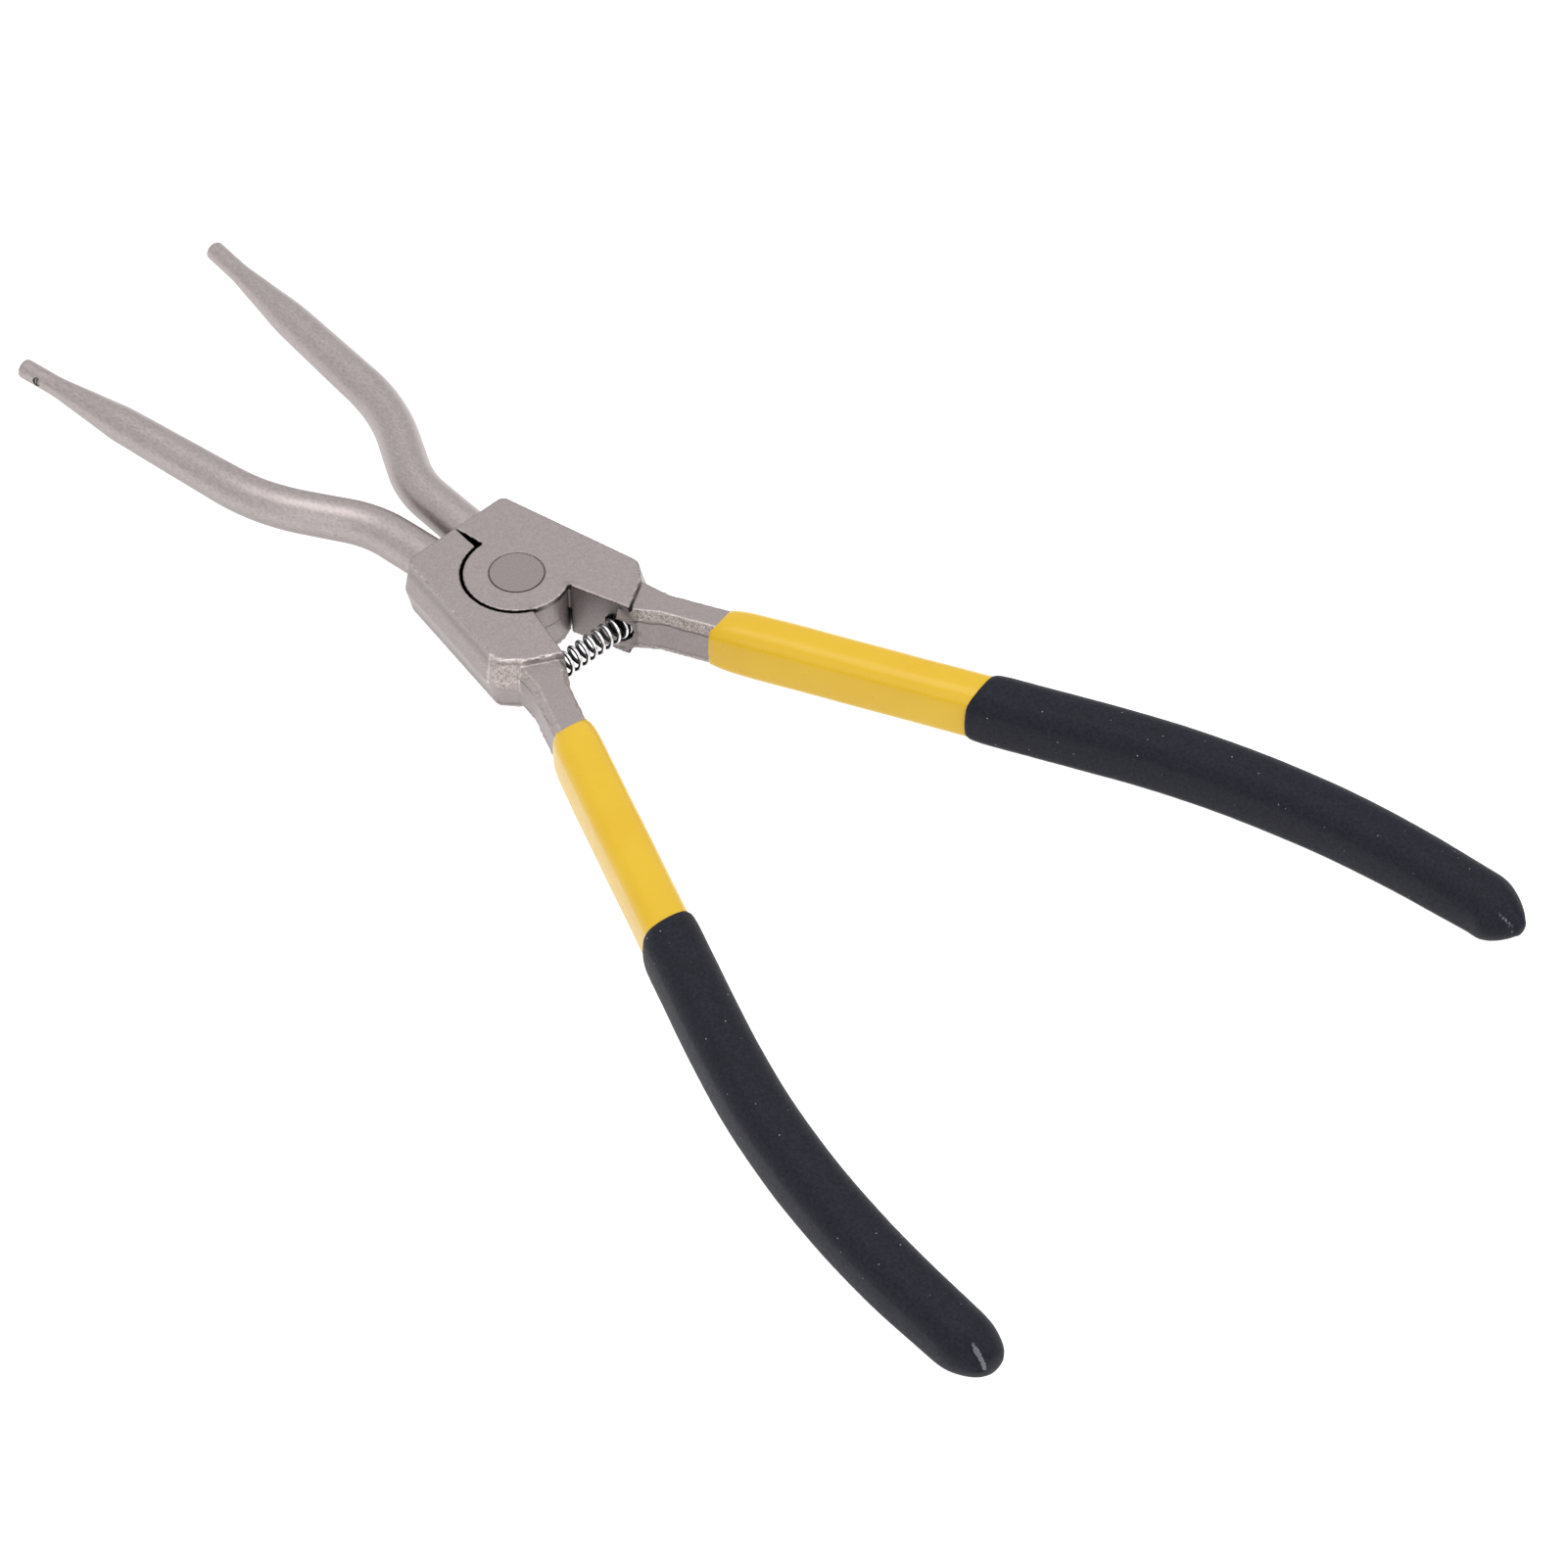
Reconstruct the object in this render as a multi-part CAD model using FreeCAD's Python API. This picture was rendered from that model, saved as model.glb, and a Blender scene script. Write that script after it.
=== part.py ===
import FreeCAD, Part
import math
import os
from FreeCAD import Vector

# Long-nose spreading pliers, millimetres.
# +X runs along the symmetry axis towards the jaws, +Z is up. The origin is on the pivot axis,
# in the flat underside of the head. Everything is worked out about the mid-plane of the tool
# and lifted by half the head's thickness when it is saved.
# The two forged levers are one design: the right one is the left one turned over about X.

# --- head of a lever ---
HEAD_THICKNESS = 12.0
HEAD_LENGTH = 30.0          # front face to the outer rear corner
FRONT_HALF_WIDTH = 11.9
REAR_HALF_WIDTH = 17.8
REAR_BEVEL_X = 3.7          # outer rear corner to the middle rear corner
REAR_BEVEL_Y = 3.4
SIDE_DRAFT = 1.4            # parting line stands out from the flat faces by this much
BEVEL_DRAFT = 1.3           # of the bevelled outer rear corner
REAR_DRAFT = 2.4
CORNER_RADIUS = 1.5         # of the upright edge at the front
REAR_CORNER_RADIUS = 2.2
ROOT_FLARE = 1.9            # the tang widens by this on each side inside the head
ROOT_FLARE_LENGTH = 7.5
BEYOND = 150.0              # further than the tool reaches on any side

# --- lap joint and stops ---
LUG_RADIUS = 9.9
LUG_CLEARANCE = 0.45
LAP_CLEARANCE = 0.1
STOP_CLEARANCE = 0.1        # between the two stop faces at the front
STOP_WEDGE = 0.75           # each stop face falls back this far at its inner end
LUG_BITE = 0.1              # a stop face's inner end lies this far inside the lug's rim
GAP_START_ANGLE = 27.0      # from -X to where the rear gap leaves the lug
GAP_FACE_ANGLE = 16.6       # of each rear gap face, from the symmetry axis
GAP_OVERHANG = 7.3          # from the outer rear corner back to the gap face's outer end

# --- rivet ---
RIVET_DIAMETER = 8.0
RIVET_HEAD_DIAMETER = 10.2
RIVET_HEAD_DEPTH = 1.1
RUNNING_CLEARANCE = 0.05    # radial, in the left lever only

# --- return spring ---
SPRING_INSET = 2.0          # from the gap face's outer end forward to the spring's axis
SPRING_DIAMETER = 4.8
SPRING_WIRE = 0.75
SPRING_PITCH = 1.95
POCKET_CLEARANCE = 0.45
POCKET_DEPTH = 2.4

# --- jaw rods ---
ROD_ROOT_DIAMETER = 8.6
ROD_BEND_DIAMETER = 7.95    # after the second bend
ROD_SHANK_DIAMETER = 7.1    # where the taper starts
ROD_GAP = 1.4               # between the two rods at the head
ROD_ROOT_SPLAY = 4.2        # degrees from X
ROD_MIDDLE_SPLAY = 29.6
ROD_TIP_SPLAY = 6.6
ROD_FIRST_BEND = {"left": 15.7, "right": 18.3}    # from the head's face, along X
ROD_SECOND_BEND = {"left": 19.3, "right": 18.9}   # from the first bend, along X
FIRST_BEND_RADIUS = 22.0
SECOND_BEND_RADIUS = 42.0
ROD_REACH = 94.8            # from the head's face to the tip, along X
TAPER_LENGTH = 17.0
TIP_LENGTH = 8.5
TIP_DIAMETER = 3.9
TIP_CHAMFER = 0.35
SPIGOT_DIAMETER = 6.0
SPIGOT_LENGTH = 4.8
FRONT_WEB = 1.35            # metal between a spigot's end and the lap joint's recess

# --- sockets and screws for exchangeable points ---
SOCKET_DIAMETER = 2.0
SOCKET_DEPTH = 9.0
SCREW_DIAMETER = 1.6
SCREW_SETBACK = 4.9
SCREW_TILT = 14.0           # degrees above the mid-plane
SCREW_SLOT_WIDTH = 0.3
SCREW_SLOT_DEPTH = 0.3

# --- tangs and dipped sleeves ---
HANDLE_SPLAY = 24.3         # degrees from the symmetry axis
ROOT_OVERHANG = 3.5         # from the outer rear corner back to the handle's root
ROOT_INSET = 6.75           # from the outer rear corner in to the handle's root
TANG_STRAIGHT = 92.7        # from the handle root to the bend
BEND_RADIUS = 190.0
TAIL_SPLAY = 5.0
TAIL_LENGTH = 19.4          # from the bend to the grip's rounded end
TANG_WIDTH = 6.6
TANG_HEIGHT = 9.8
TANG_BEVEL_WIDTH = 1.0      # across the flat top
TANG_BEVEL_DROP = 1.8       # down the side
TANG_SETBACK = 15.5         # from the grip's end
SLEEVE_COAT = 1.25          # side thickness of the yellow dip
SLEEVE_COAT_TOP = 1.0
SLEEVE_START = 17.3         # from the handle's root along X, on the handle's centre line
DIP_TILT = 10.0             # of the dips' edges, from square across the tool
SLEEVE_SETBACK = 2.5
GRIP_COAT = 0.9             # thickness of the black dip over the yellow one
GRIP_COAT_TOP = 0.6
GRIP_START = 62.7
SLEEVE_CORNER = 3.7
GRIP_CORNER = 4.9
NOSE_LENGTH = 9.0
NOSE_TIP_RADIUS = 1.4
NOSE_BULGE = (0.36, 0.69)   # a point of the nose's curve, as shares of its length and depth
GRIP_NOSE_RADIUS = 5.75     # where the rounded nose starts
SLEEVE_NOSE_RADIUS = 5.45
NECK_LENGTH = 30.0          # the grip narrows towards the nose over this length

MID = HEAD_THICKNESS / 2
FRONT_X = LUG_RADIUS + LUG_CLEARANCE + FRONT_WEB + SPIGOT_LENGTH
REAR_X = FRONT_X - HEAD_LENGTH
ROD_Y = (ROD_ROOT_DIAMETER + ROD_GAP) / 2
SPRING_X = REAR_X - GAP_OVERHANG + SPRING_INSET


def heading(degrees):
    """Unit vector at an angle from +X, in the mid-plane."""
    return Vector(math.cos(math.radians(degrees)), math.sin(math.radians(degrees)), 0)


def cylinder(radius, start, end):
    axis = end - start
    return Part.makeCylinder(radius, axis.Length, start, axis)


def cone(start, radius_start, end, radius_end):
    axis = end - start
    return Part.makeCone(radius_start, radius_end, axis.Length, start, axis)


def block(x_range, y_range, z_range):
    corner = Vector(x_range[0], y_range[0], z_range[0])
    size = [span[1] - span[0] for span in (x_range, y_range, z_range)]
    return Part.makeBox(*size, corner)


# --- forged lever ---

def gap_corner(x):
    """A point of the left lever's rear gap face."""
    inner = heading(180 - GAP_START_ANGLE) * LUG_RADIUS
    return Vector(x, inner.y + (inner.x - x) * math.tan(math.radians(GAP_FACE_ANGLE)), 0)


def head_outline():
    """Corners of the head's flat face, each with the draft of the side that follows it."""
    stop_x = math.sqrt(LUG_RADIUS ** 2 - STOP_WEDGE ** 2) - LUG_BITE
    return [
        (Vector(FRONT_X, STOP_CLEARANCE / 2, 0), 0),
        (Vector(FRONT_X, FRONT_HALF_WIDTH, 0), SIDE_DRAFT),
        (Vector(REAR_X, REAR_HALF_WIDTH, 0), BEVEL_DRAFT),
        (Vector(REAR_X - REAR_BEVEL_X, REAR_HALF_WIDTH - REAR_BEVEL_Y, 0), REAR_DRAFT),
        (gap_corner(REAR_X - GAP_OVERHANG), 0),
        (heading(180 - GAP_START_ANGLE) * LUG_RADIUS, 0),
        (Vector(stop_x, STOP_WEDGE, 0), 0),
    ]


def side_line(start, end, draft):
    """A point and direction of an outline side moved outwards by its draft."""
    along = (end - start).normalize()
    return start + Vector(along.y, -along.x, 0) * draft, along


def meet(line_a, line_b):
    (point_a, along_a), (point_b, along_b) = line_a, line_b
    cross = along_a.x * along_b.y - along_a.y * along_b.x
    gap = point_b - point_a
    return point_a + along_a * ((gap.x * along_b.y - gap.y * along_b.x) / cross)


def grown(outline):
    """The outline at the parting line, each side moved out by its draft."""
    corners = [corner for corner, draft in outline]
    following = corners[1:] + corners[:1]
    drafts = [draft for corner, draft in outline]
    sides = [side_line(*side) for side in zip(corners, following, drafts)]
    return [meet(before, after) for before, after in zip(sides[-1:] + sides[:-1], sides)]


def level_wire(corners, z):
    points = [Vector(corner.x, corner.y, z) for corner in corners]
    return Part.makePolygon(points + points[:1])


def rounded_corner(shape, corner, radius):
    """Fillet the two upright edges that meet at a corner of the parting line."""
    edges = [edge for edge in shape.Edges
             if min((vertex.Point - corner).Length for vertex in edge.Vertexes) < 0.01
             and abs(edge.tangentAt(edge.FirstParameter).z) > 0.5]
    return shape.makeFillet(radius, edges)


def forged_head():
    outline = head_outline()
    flat = [corner for corner, draft in outline]
    parting = grown(outline)
    halves = [
        Part.makeLoft([level_wire(parting, 0), level_wire(flat, z)], True, True)
        for z in (MID, -MID)
    ]
    head = halves[0].fuse(halves[1]).removeSplitter()
    head = rounded_corner(head, parting[1], CORNER_RADIUS)
    return rounded_corner(head, parting[2], REAR_CORNER_RADIUS)


def tang_outline(flare=0):
    half_width, half_height = TANG_WIDTH / 2 + flare, TANG_HEIGHT / 2
    quarter = [
        (half_width, half_height - TANG_BEVEL_DROP),
        (half_width - TANG_BEVEL_WIDTH, half_height),
    ]
    upper = quarter + [(-u, z) for u, z in reversed(quarter)]
    return upper + [(-u, -z) for u, z in upper]


def rounded_outline(width, height, radius):
    """Wire of a rounded rectangle in the YZ plane, built from lines and corner arcs."""
    u, z = width / 2, height / 2
    diagonal = radius * (1 - math.sqrt(0.5))
    edges = []
    for turn in range(4):
        a, b = (u, z) if turn % 2 == 0 else (z, u)
        start, end = Vector(0, a, b - radius), Vector(0, a - radius, b)
        arc = Part.Arc(start, Vector(0, a - diagonal, b - diagonal), end).toShape()
        side = Part.LineSegment(Vector(0, a, radius - b), start).toShape()
        for edge in (side, arc):
            edge.rotate(Vector(), Vector(1, 0, 0), 90 * turn)
            edges.append(edge)
    return Part.Wire(Part.__sortEdges__(edges))


def placed(wire, point, degrees):
    """A section drawn in the YZ plane, moved to a point and turned to a heading."""
    copy = wire.copy()
    copy.rotate(Vector(), Vector(0, 0, 1), degrees)
    copy.translate(point)
    return Part.Face(copy)


def handle_points():
    """Handle root, both ends of the bend and the tail's end, with the bend's centre."""
    out = 180 - HANDLE_SPLAY
    root = Vector(REAR_X - ROOT_OVERHANG, REAR_HALF_WIDTH - ROOT_INSET, 0)
    bend_start = root + heading(out) * TANG_STRAIGHT
    centre = bend_start + heading(out + 90) * BEND_RADIUS
    tail_heading = 180 - TAIL_SPLAY
    bend_end = centre - heading(tail_heading + 90) * BEND_RADIUS
    return root, bend_start, centre, bend_end, bend_end + heading(tail_heading) * TAIL_LENGTH


def handle_bar(wire, setback):
    """A section run along the handle: straight, bend, straight, stopping short of the end."""
    root, bend_start, centre, bend_end, end = handle_points()
    out, tail = 180 - HANDLE_SPLAY, 180 - TAIL_SPLAY
    straight = placed(wire, root, out).extrude(bend_start - root)
    bend = placed(wire, bend_start, out).revolve(centre, Vector(0, 0, 1), tail - out)
    last = heading(tail) * (TAIL_LENGTH - setback)
    return straight.fuse([bend, placed(wire, bend_end, tail).extrude(last)]).removeSplitter()


def octagon(flare=0):
    points = [Vector(0, u, z) for u, z in tang_outline(flare)]
    return Part.makePolygon(points + points[:1])


def tang():
    """An eight-sided bar that widens into the head."""
    bar = handle_bar(octagon(), TANG_SETBACK)
    out = 180 - HANDLE_SPLAY
    root = handle_points()[0]
    wide = placed(octagon(ROOT_FLARE), root, out).OuterWire
    narrow = placed(octagon(), root + heading(out) * ROOT_FLARE_LENGTH, out).OuterWire
    return bar.fuse(Part.makeLoft([wide, narrow], True, True)).removeSplitter()


def half_joint(body, lug_low, lug_high):
    """Give a lever its lug in one half of the thickness and the other lug's recess."""
    lug = Part.makeCylinder(LUG_RADIUS, lug_high - lug_low, Vector(0, 0, lug_low))
    recess = Part.makeCylinder(LUG_RADIUS + LUG_CLEARANCE, HEAD_THICKNESS, Vector(0, 0, lug_high))
    return body.cut(recess).fuse(lug).removeSplitter()


def rivet_hole(clearance):
    """Straight bore with a countersink in the lug's outer face."""
    shank = RIVET_DIAMETER / 2 + clearance
    rim = RIVET_HEAD_DIAMETER / 2 + clearance
    bore = Part.makeCylinder(shank, HEAD_THICKNESS * 2, Vector(0, 0, -HEAD_THICKNESS))
    return bore.fuse(cone(Vector(0, 0, -MID), rim, Vector(0, 0, RIVET_HEAD_DEPTH - MID), shank))


def pocket_floor():
    return gap_corner(SPRING_X).y + POCKET_DEPTH


def spring_pocket():
    radius = SPRING_DIAMETER / 2 + POCKET_CLEARANCE
    return cylinder(radius, Vector(SPRING_X, 0, 0), Vector(SPRING_X, pocket_floor(), 0))


def spigot():
    """The turned-down end of a rod, and the hole in the head that it is brazed into."""
    root = Vector(FRONT_X, ROD_Y, 0)
    return cylinder(SPIGOT_DIAMETER / 2, root - Vector(SPIGOT_LENGTH, 0, 0), root)


def lever(clearance):
    """The left lever, with its lug in the lower half."""
    body = forged_head().fuse(tang()).removeSplitter()
    body = half_joint(body, -MID, -LAP_CLEARANCE / 2)
    for tool in (rivet_hole(clearance), spring_pocket(), spigot()):
        body = body.cut(tool)
    return body


def turned_over(shape):
    copy = shape.copy()
    copy.rotate(Vector(), Vector(1, 0, 0), 180)
    return copy


def mirrored(shape):
    return shape.mirror(Vector(), Vector(0, 1, 0))


# --- rivet and spring ---

def rivet():
    shank = Part.makeCylinder(RIVET_DIAMETER / 2, HEAD_THICKNESS, Vector(0, 0, -MID))
    heads = [
        cone(Vector(0, 0, z), RIVET_HEAD_DIAMETER / 2,
             Vector(0, 0, z * (1 - RIVET_HEAD_DEPTH / MID)), RIVET_DIAMETER / 2)
        for z in (-MID, MID)
    ]
    return shank.fuse(heads).removeSplitter()


def spring():
    coil_radius = (SPRING_DIAMETER - SPRING_WIRE) / 2
    seat = pocket_floor() - SPRING_WIRE / 2
    helix = Part.makeHelix(SPRING_PITCH, 2 * seat, coil_radius)
    section = Part.Wire(Part.makeCircle(SPRING_WIRE / 2, Vector(coil_radius, 0, 0), Vector(0, 1, 0)))
    coil = Part.Wire(helix).makePipeShell([section], True, True)
    coil.rotate(Vector(), Vector(1, 0, 0), -90)
    coil.translate(Vector(SPRING_X, -seat, 0))
    return coil


# --- jaw rods ---

def rod_corners(side):
    """Root, two bend corners and tip of a rod's centre line, on the +Y side."""
    root = Vector(FRONT_X, ROD_Y, 0)
    runs = (
        (ROD_FIRST_BEND[side], ROD_ROOT_SPLAY),
        (ROD_SECOND_BEND[side], ROD_MIDDLE_SPLAY),
        (ROD_REACH - ROD_FIRST_BEND[side] - ROD_SECOND_BEND[side], ROD_TIP_SPLAY),
    )
    corners = [root]
    for length, splay in runs:
        rise = length * math.tan(math.radians(splay))
        corners.append(corners[-1] + Vector(length, rise, 0))
    return corners


def bent_line(corners, radii):
    """Straight runs joined by tangent arcs."""
    edges, start = [], corners[0]
    for before, corner, after, radius in zip(corners, corners[1:], corners[2:], radii):
        back, ahead = (before - corner).normalize(), (after - corner).normalize()
        half_turn = (math.pi - back.getAngle(ahead)) / 2
        cut = radius * math.tan(half_turn)
        arc_start, arc_end = corner + back * cut, corner + ahead * cut
        inward = (back + ahead).normalize()
        middle = corner + inward * radius * (1 / math.cos(half_turn) - 1)
        edges.append(Part.LineSegment(start, arc_start).toShape())
        edges.append(Part.Arc(arc_start, middle, arc_end).toShape())
        start = arc_end
    return edges, start


def tip_axis(side):
    corners = rod_corners(side)
    return corners[-1], (corners[-1] - corners[-2]).normalize()


def screw_axis(side):
    """Where a tip screw crosses the socket's axis, and the way out."""
    tip, along = tip_axis(side)
    sideways = Vector(-along.y, along.x, 0)
    tilt = math.radians(SCREW_TILT)
    return tip - along * SCREW_SETBACK, sideways * math.cos(tilt) + Vector(0, 0, math.sin(tilt))


def bent_length(side):
    corners = rod_corners(side)
    edges, shank_start = bent_line(corners, (FIRST_BEND_RADIUS, SECOND_BEND_RADIUS))
    start, ahead = corners[0], (corners[1] - corners[0]).normalize()
    sections = [
        Part.Wire(Part.makeCircle(ROD_ROOT_DIAMETER / 2, start, ahead)),
        Part.Wire(Part.makeCircle(ROD_BEND_DIAMETER / 2, shank_start, tip_axis(side)[1])),
    ]
    return Part.Wire(edges).makePipeShell(sections, True, False), shank_start


def jaw_rod(side):
    """A rod on the +Y side: spigot, bent root, slim shank, taper and tip with its socket."""
    tip, along = tip_axis(side)
    bent, shank_start = bent_length(side)
    tip_start = tip - along * TIP_LENGTH
    taper_start = tip_start - along * TAPER_LENGTH
    chamfer_start = tip - along * TIP_CHAMFER
    tip_radius = TIP_DIAMETER / 2
    pieces = [
        cone(shank_start, ROD_BEND_DIAMETER / 2, taper_start, ROD_SHANK_DIAMETER / 2),
        cone(taper_start, ROD_SHANK_DIAMETER / 2, tip_start, tip_radius),
        cylinder(tip_radius, tip_start, chamfer_start),
        cone(chamfer_start, tip_radius, tip, tip_radius - TIP_CHAMFER),
        spigot(),
    ]
    rod = bent.fuse(pieces)
    rod = rod.cut(cylinder(SOCKET_DIAMETER / 2, tip - along * SOCKET_DEPTH, tip + along))
    crossing, outward = screw_axis(side)
    rod = rod.cut(cylinder(SCREW_DIAMETER / 2, crossing, crossing + outward * TIP_DIAMETER))
    # the root meets the head's front face squarely
    inside_head = block((FRONT_X - SPIGOT_LENGTH, FRONT_X), (-BEYOND, BEYOND), (-BEYOND, BEYOND))
    return rod.cut(inside_head.cut(spigot()))


def tip_screw(side):
    crossing, outward = screw_axis(side)
    inner = crossing + outward * (SOCKET_DIAMETER / 2 + RUNNING_CLEARANCE)
    outer = crossing + outward * (TIP_DIAMETER / 2 - RUNNING_CLEARANCE)
    screw = cylinder(SCREW_DIAMETER / 2, inner, outer)
    slot = Part.makeBox(TIP_DIAMETER, SCREW_SLOT_WIDTH, TIP_DIAMETER,
                        Vector(-TIP_DIAMETER / 2, -SCREW_SLOT_WIDTH / 2, 0))
    turn = FreeCAD.Rotation(Vector(0, 0, 1), outward)
    slot.Placement = FreeCAD.Placement(outer - outward * SCREW_SLOT_DEPTH, turn) * slot.Placement
    return screw.cut(slot)


# --- dipped sleeves ---

def nose(reach, nose_radius, setback):
    """Round envelope of the tail: a blunt nose, then a slow widening towards the head."""
    length = NOSE_LENGTH - setback
    depth = nose_radius - NOSE_TIP_RADIUS
    far = Vector(NECK_LENGTH + TANG_STRAIGHT + BEND_RADIUS, reach, 0)
    rim = Vector(0, NOSE_TIP_RADIUS, 0)
    shoulder = Vector(length, nose_radius, 0)
    neck = Vector(NECK_LENGTH - setback, reach, 0)
    bulge = Vector(length * NOSE_BULGE[0], NOSE_TIP_RADIUS + depth * NOSE_BULGE[1], 0)
    corners = [shoulder, neck, far, Vector(far.x, 0, 0), Vector(), rim]
    sides = [Part.LineSegment(a, b).toShape() for a, b in zip(corners, corners[1:])]
    sides.append(Part.Arc(rim, bulge, shoulder).toShape())
    bullet = Part.Face(Part.Wire(sides)).revolve(Vector(), Vector(1, 0, 0), 360)
    bullet.rotate(Vector(), Vector(0, 0, 1), -TAIL_SPLAY)
    bullet.translate(handle_points()[-1] + heading(-TAIL_SPLAY) * setback)
    return bullet


def dipped(width, height, corner, nose_radius, start, setback):
    """A coat's outer form, from a plane across the tool to its rounded end."""
    bar = handle_bar(rounded_outline(width, height, corner), setback)
    reach = math.hypot(width, height) / 2 - corner * (math.sqrt(2) - 1)
    root, bend_end = handle_points()[0], handle_points()[3]
    ahead = block((bend_end.x, 0), (0, BEYOND), (-BEYOND, BEYOND))
    form = bar.common(nose(reach, nose_radius, setback).fuse(ahead))
    bare = block((0, BEYOND), (-BEYOND, BEYOND), (-BEYOND, BEYOND))
    bare.rotate(Vector(), Vector(0, 0, 1), -DIP_TILT)
    bare.translate(root + Vector(-start, start * math.tan(math.radians(HANDLE_SPLAY)), 0))
    return form.cut(bare)


def yellow_form():
    return dipped(TANG_WIDTH + 2 * SLEEVE_COAT, TANG_HEIGHT + 2 * SLEEVE_COAT_TOP, SLEEVE_CORNER,
                  SLEEVE_NOSE_RADIUS, SLEEVE_START, SLEEVE_SETBACK)


def black_form():
    return dipped(TANG_WIDTH + 2 * (SLEEVE_COAT + GRIP_COAT),
                  TANG_HEIGHT + 2 * (SLEEVE_COAT_TOP + GRIP_COAT_TOP), GRIP_CORNER,
                  GRIP_NOSE_RADIUS, GRIP_START, 0)


def save(name, shape):
    shape.translate(Vector(0, 0, MID))
    assert shape.isValid() and len(shape.Solids) == 1, name
    shape.Solids[0].exportStep("parts/" + name + ".step")
    print(f"{name}: {shape.Volume:.1f} mm3")


def main():
    os.makedirs("parts", exist_ok=True)
    yellow = yellow_form()
    sleeve = yellow.cut(tang())
    grip = black_form().cut([yellow, tang()])
    save("left_lever", lever(RUNNING_CLEARANCE))
    save("right_lever", turned_over(lever(0)))
    save("pivot_rivet", rivet())
    save("return_spring", spring())
    save("left_jaw_rod", jaw_rod("left"))
    save("right_jaw_rod", mirrored(jaw_rod("right")))
    save("left_tip_screw", tip_screw("left"))
    save("right_tip_screw", mirrored(tip_screw("right")))
    save("left_yellow_sleeve", sleeve.copy())
    save("right_yellow_sleeve", turned_over(sleeve))
    save("left_black_grip", grip.copy())
    save("right_black_grip", turned_over(grip))


main()
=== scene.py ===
import math

import bmesh
import bpy
import numpy as np
from mathutils import Matrix, Vector, noise


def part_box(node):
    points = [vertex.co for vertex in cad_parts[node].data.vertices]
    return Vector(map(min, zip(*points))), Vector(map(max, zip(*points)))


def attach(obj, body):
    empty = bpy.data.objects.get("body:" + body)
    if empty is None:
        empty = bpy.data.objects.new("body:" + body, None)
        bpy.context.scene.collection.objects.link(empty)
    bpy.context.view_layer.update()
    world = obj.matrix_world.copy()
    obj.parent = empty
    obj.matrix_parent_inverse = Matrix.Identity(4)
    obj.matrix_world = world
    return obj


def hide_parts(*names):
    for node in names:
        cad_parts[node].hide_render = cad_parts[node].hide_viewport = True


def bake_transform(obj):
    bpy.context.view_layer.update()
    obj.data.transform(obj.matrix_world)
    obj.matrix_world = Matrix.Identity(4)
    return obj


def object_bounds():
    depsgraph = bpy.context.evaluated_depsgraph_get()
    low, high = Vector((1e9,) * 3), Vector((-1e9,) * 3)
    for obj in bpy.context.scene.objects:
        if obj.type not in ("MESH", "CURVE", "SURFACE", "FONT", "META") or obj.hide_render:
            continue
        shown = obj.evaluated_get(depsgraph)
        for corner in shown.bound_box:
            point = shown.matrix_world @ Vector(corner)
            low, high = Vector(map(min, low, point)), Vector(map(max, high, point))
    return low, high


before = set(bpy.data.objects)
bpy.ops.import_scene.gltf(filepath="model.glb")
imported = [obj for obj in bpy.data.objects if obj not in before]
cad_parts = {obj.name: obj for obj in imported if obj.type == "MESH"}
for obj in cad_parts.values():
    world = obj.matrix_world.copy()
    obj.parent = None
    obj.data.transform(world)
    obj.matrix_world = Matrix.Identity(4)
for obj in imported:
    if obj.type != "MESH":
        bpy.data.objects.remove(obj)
cad_low, cad_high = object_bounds()

# -----------------------------------------------------------------------------
# Forged levers
# Each half of the tool is one drop-forged steel lever: a flat head with half of the lap joint,
# and a tang behind it. The flat faces and the joint are ground, the sides and the tang keep the
# skin of the forging, and the whole is plated in satin nickel.

MM = 0.001
SIDES = {"left": 1, "right": -1}        # the right half is the left one turned over about X
RIVET_LOW, RIVET_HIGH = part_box("pivot_rivet")
MID = (RIVET_LOW.z + RIVET_HIGH.z) / 2
HEAD_TOP = RIVET_HIGH.z - MID
RIVET_RADIUS = RIVET_HIGH.x

HANDLE_ROOT = Vector((-17.0, 11.05, 0)) * MM
HANDLE_SPLAY = math.radians(24.3)
TANG_HALF_WIDTH = 3.3 * MM
TANG_HALF_HEIGHT = 4.9 * MM
TANG_SHOULDER = 3.1 * MM                # height of the edge between a tang's side and its bevel
TANG_CORNER = 1.2 * MM
LUG_RADIUS = 9.9 * MM
JOINT_RADIUS = 10.6 * MM                # everything nearer the pivot is ground
SPRING_X = -18.8 * MM
POCKET_RADIUS = 2.85 * MM
POCKET_FLOOR = 9.87 * MM
GAP_CORNER = Vector((-8.82, 4.49, 0)) * MM      # where the rear gap leaves the lug
GAP_FACE_ANGLE = math.radians(16.6)

SKIN_VOXEL = 0.208 * MM                 # a finer skin takes a lever past 200,000 triangles
TANG_CUT_X = -42.0 * MM                 # under the yellow dip
WELD_DISTANCE = 0.0005 * MM
FILLET_CENTRE = 2.5 * MM                # behind the handle's root
FILLET_REACH = 7.0 * MM
FILLET_PASSES = 80
SKIN_GRAIN = 0.05 * MM
BEVEL_GRAIN = 0.13 * MM
FLASH_HEIGHT = 0.1 * MM
FLASH_WIDTH = 0.14 * MM
FLASH_WANDER = 0.5 * MM
SCAR_CENTRE = Vector((-14.8, 17.0, 2.7)) * MM
SCAR_SPAN = 3.4 * MM                    # half its length along the bevelled corner
SCAR_RISE = 3.3 * MM
SCAR_GRAIN = 0.2 * MM
PARTING_HEIGHT = 0.08 * MM
EDGE_RAGGED = 0.13 * MM
BURR_HEIGHT = 0.16 * MM
BAND = 0.06 * MM                        # below a ground face, where the dark joint lines begin
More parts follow.
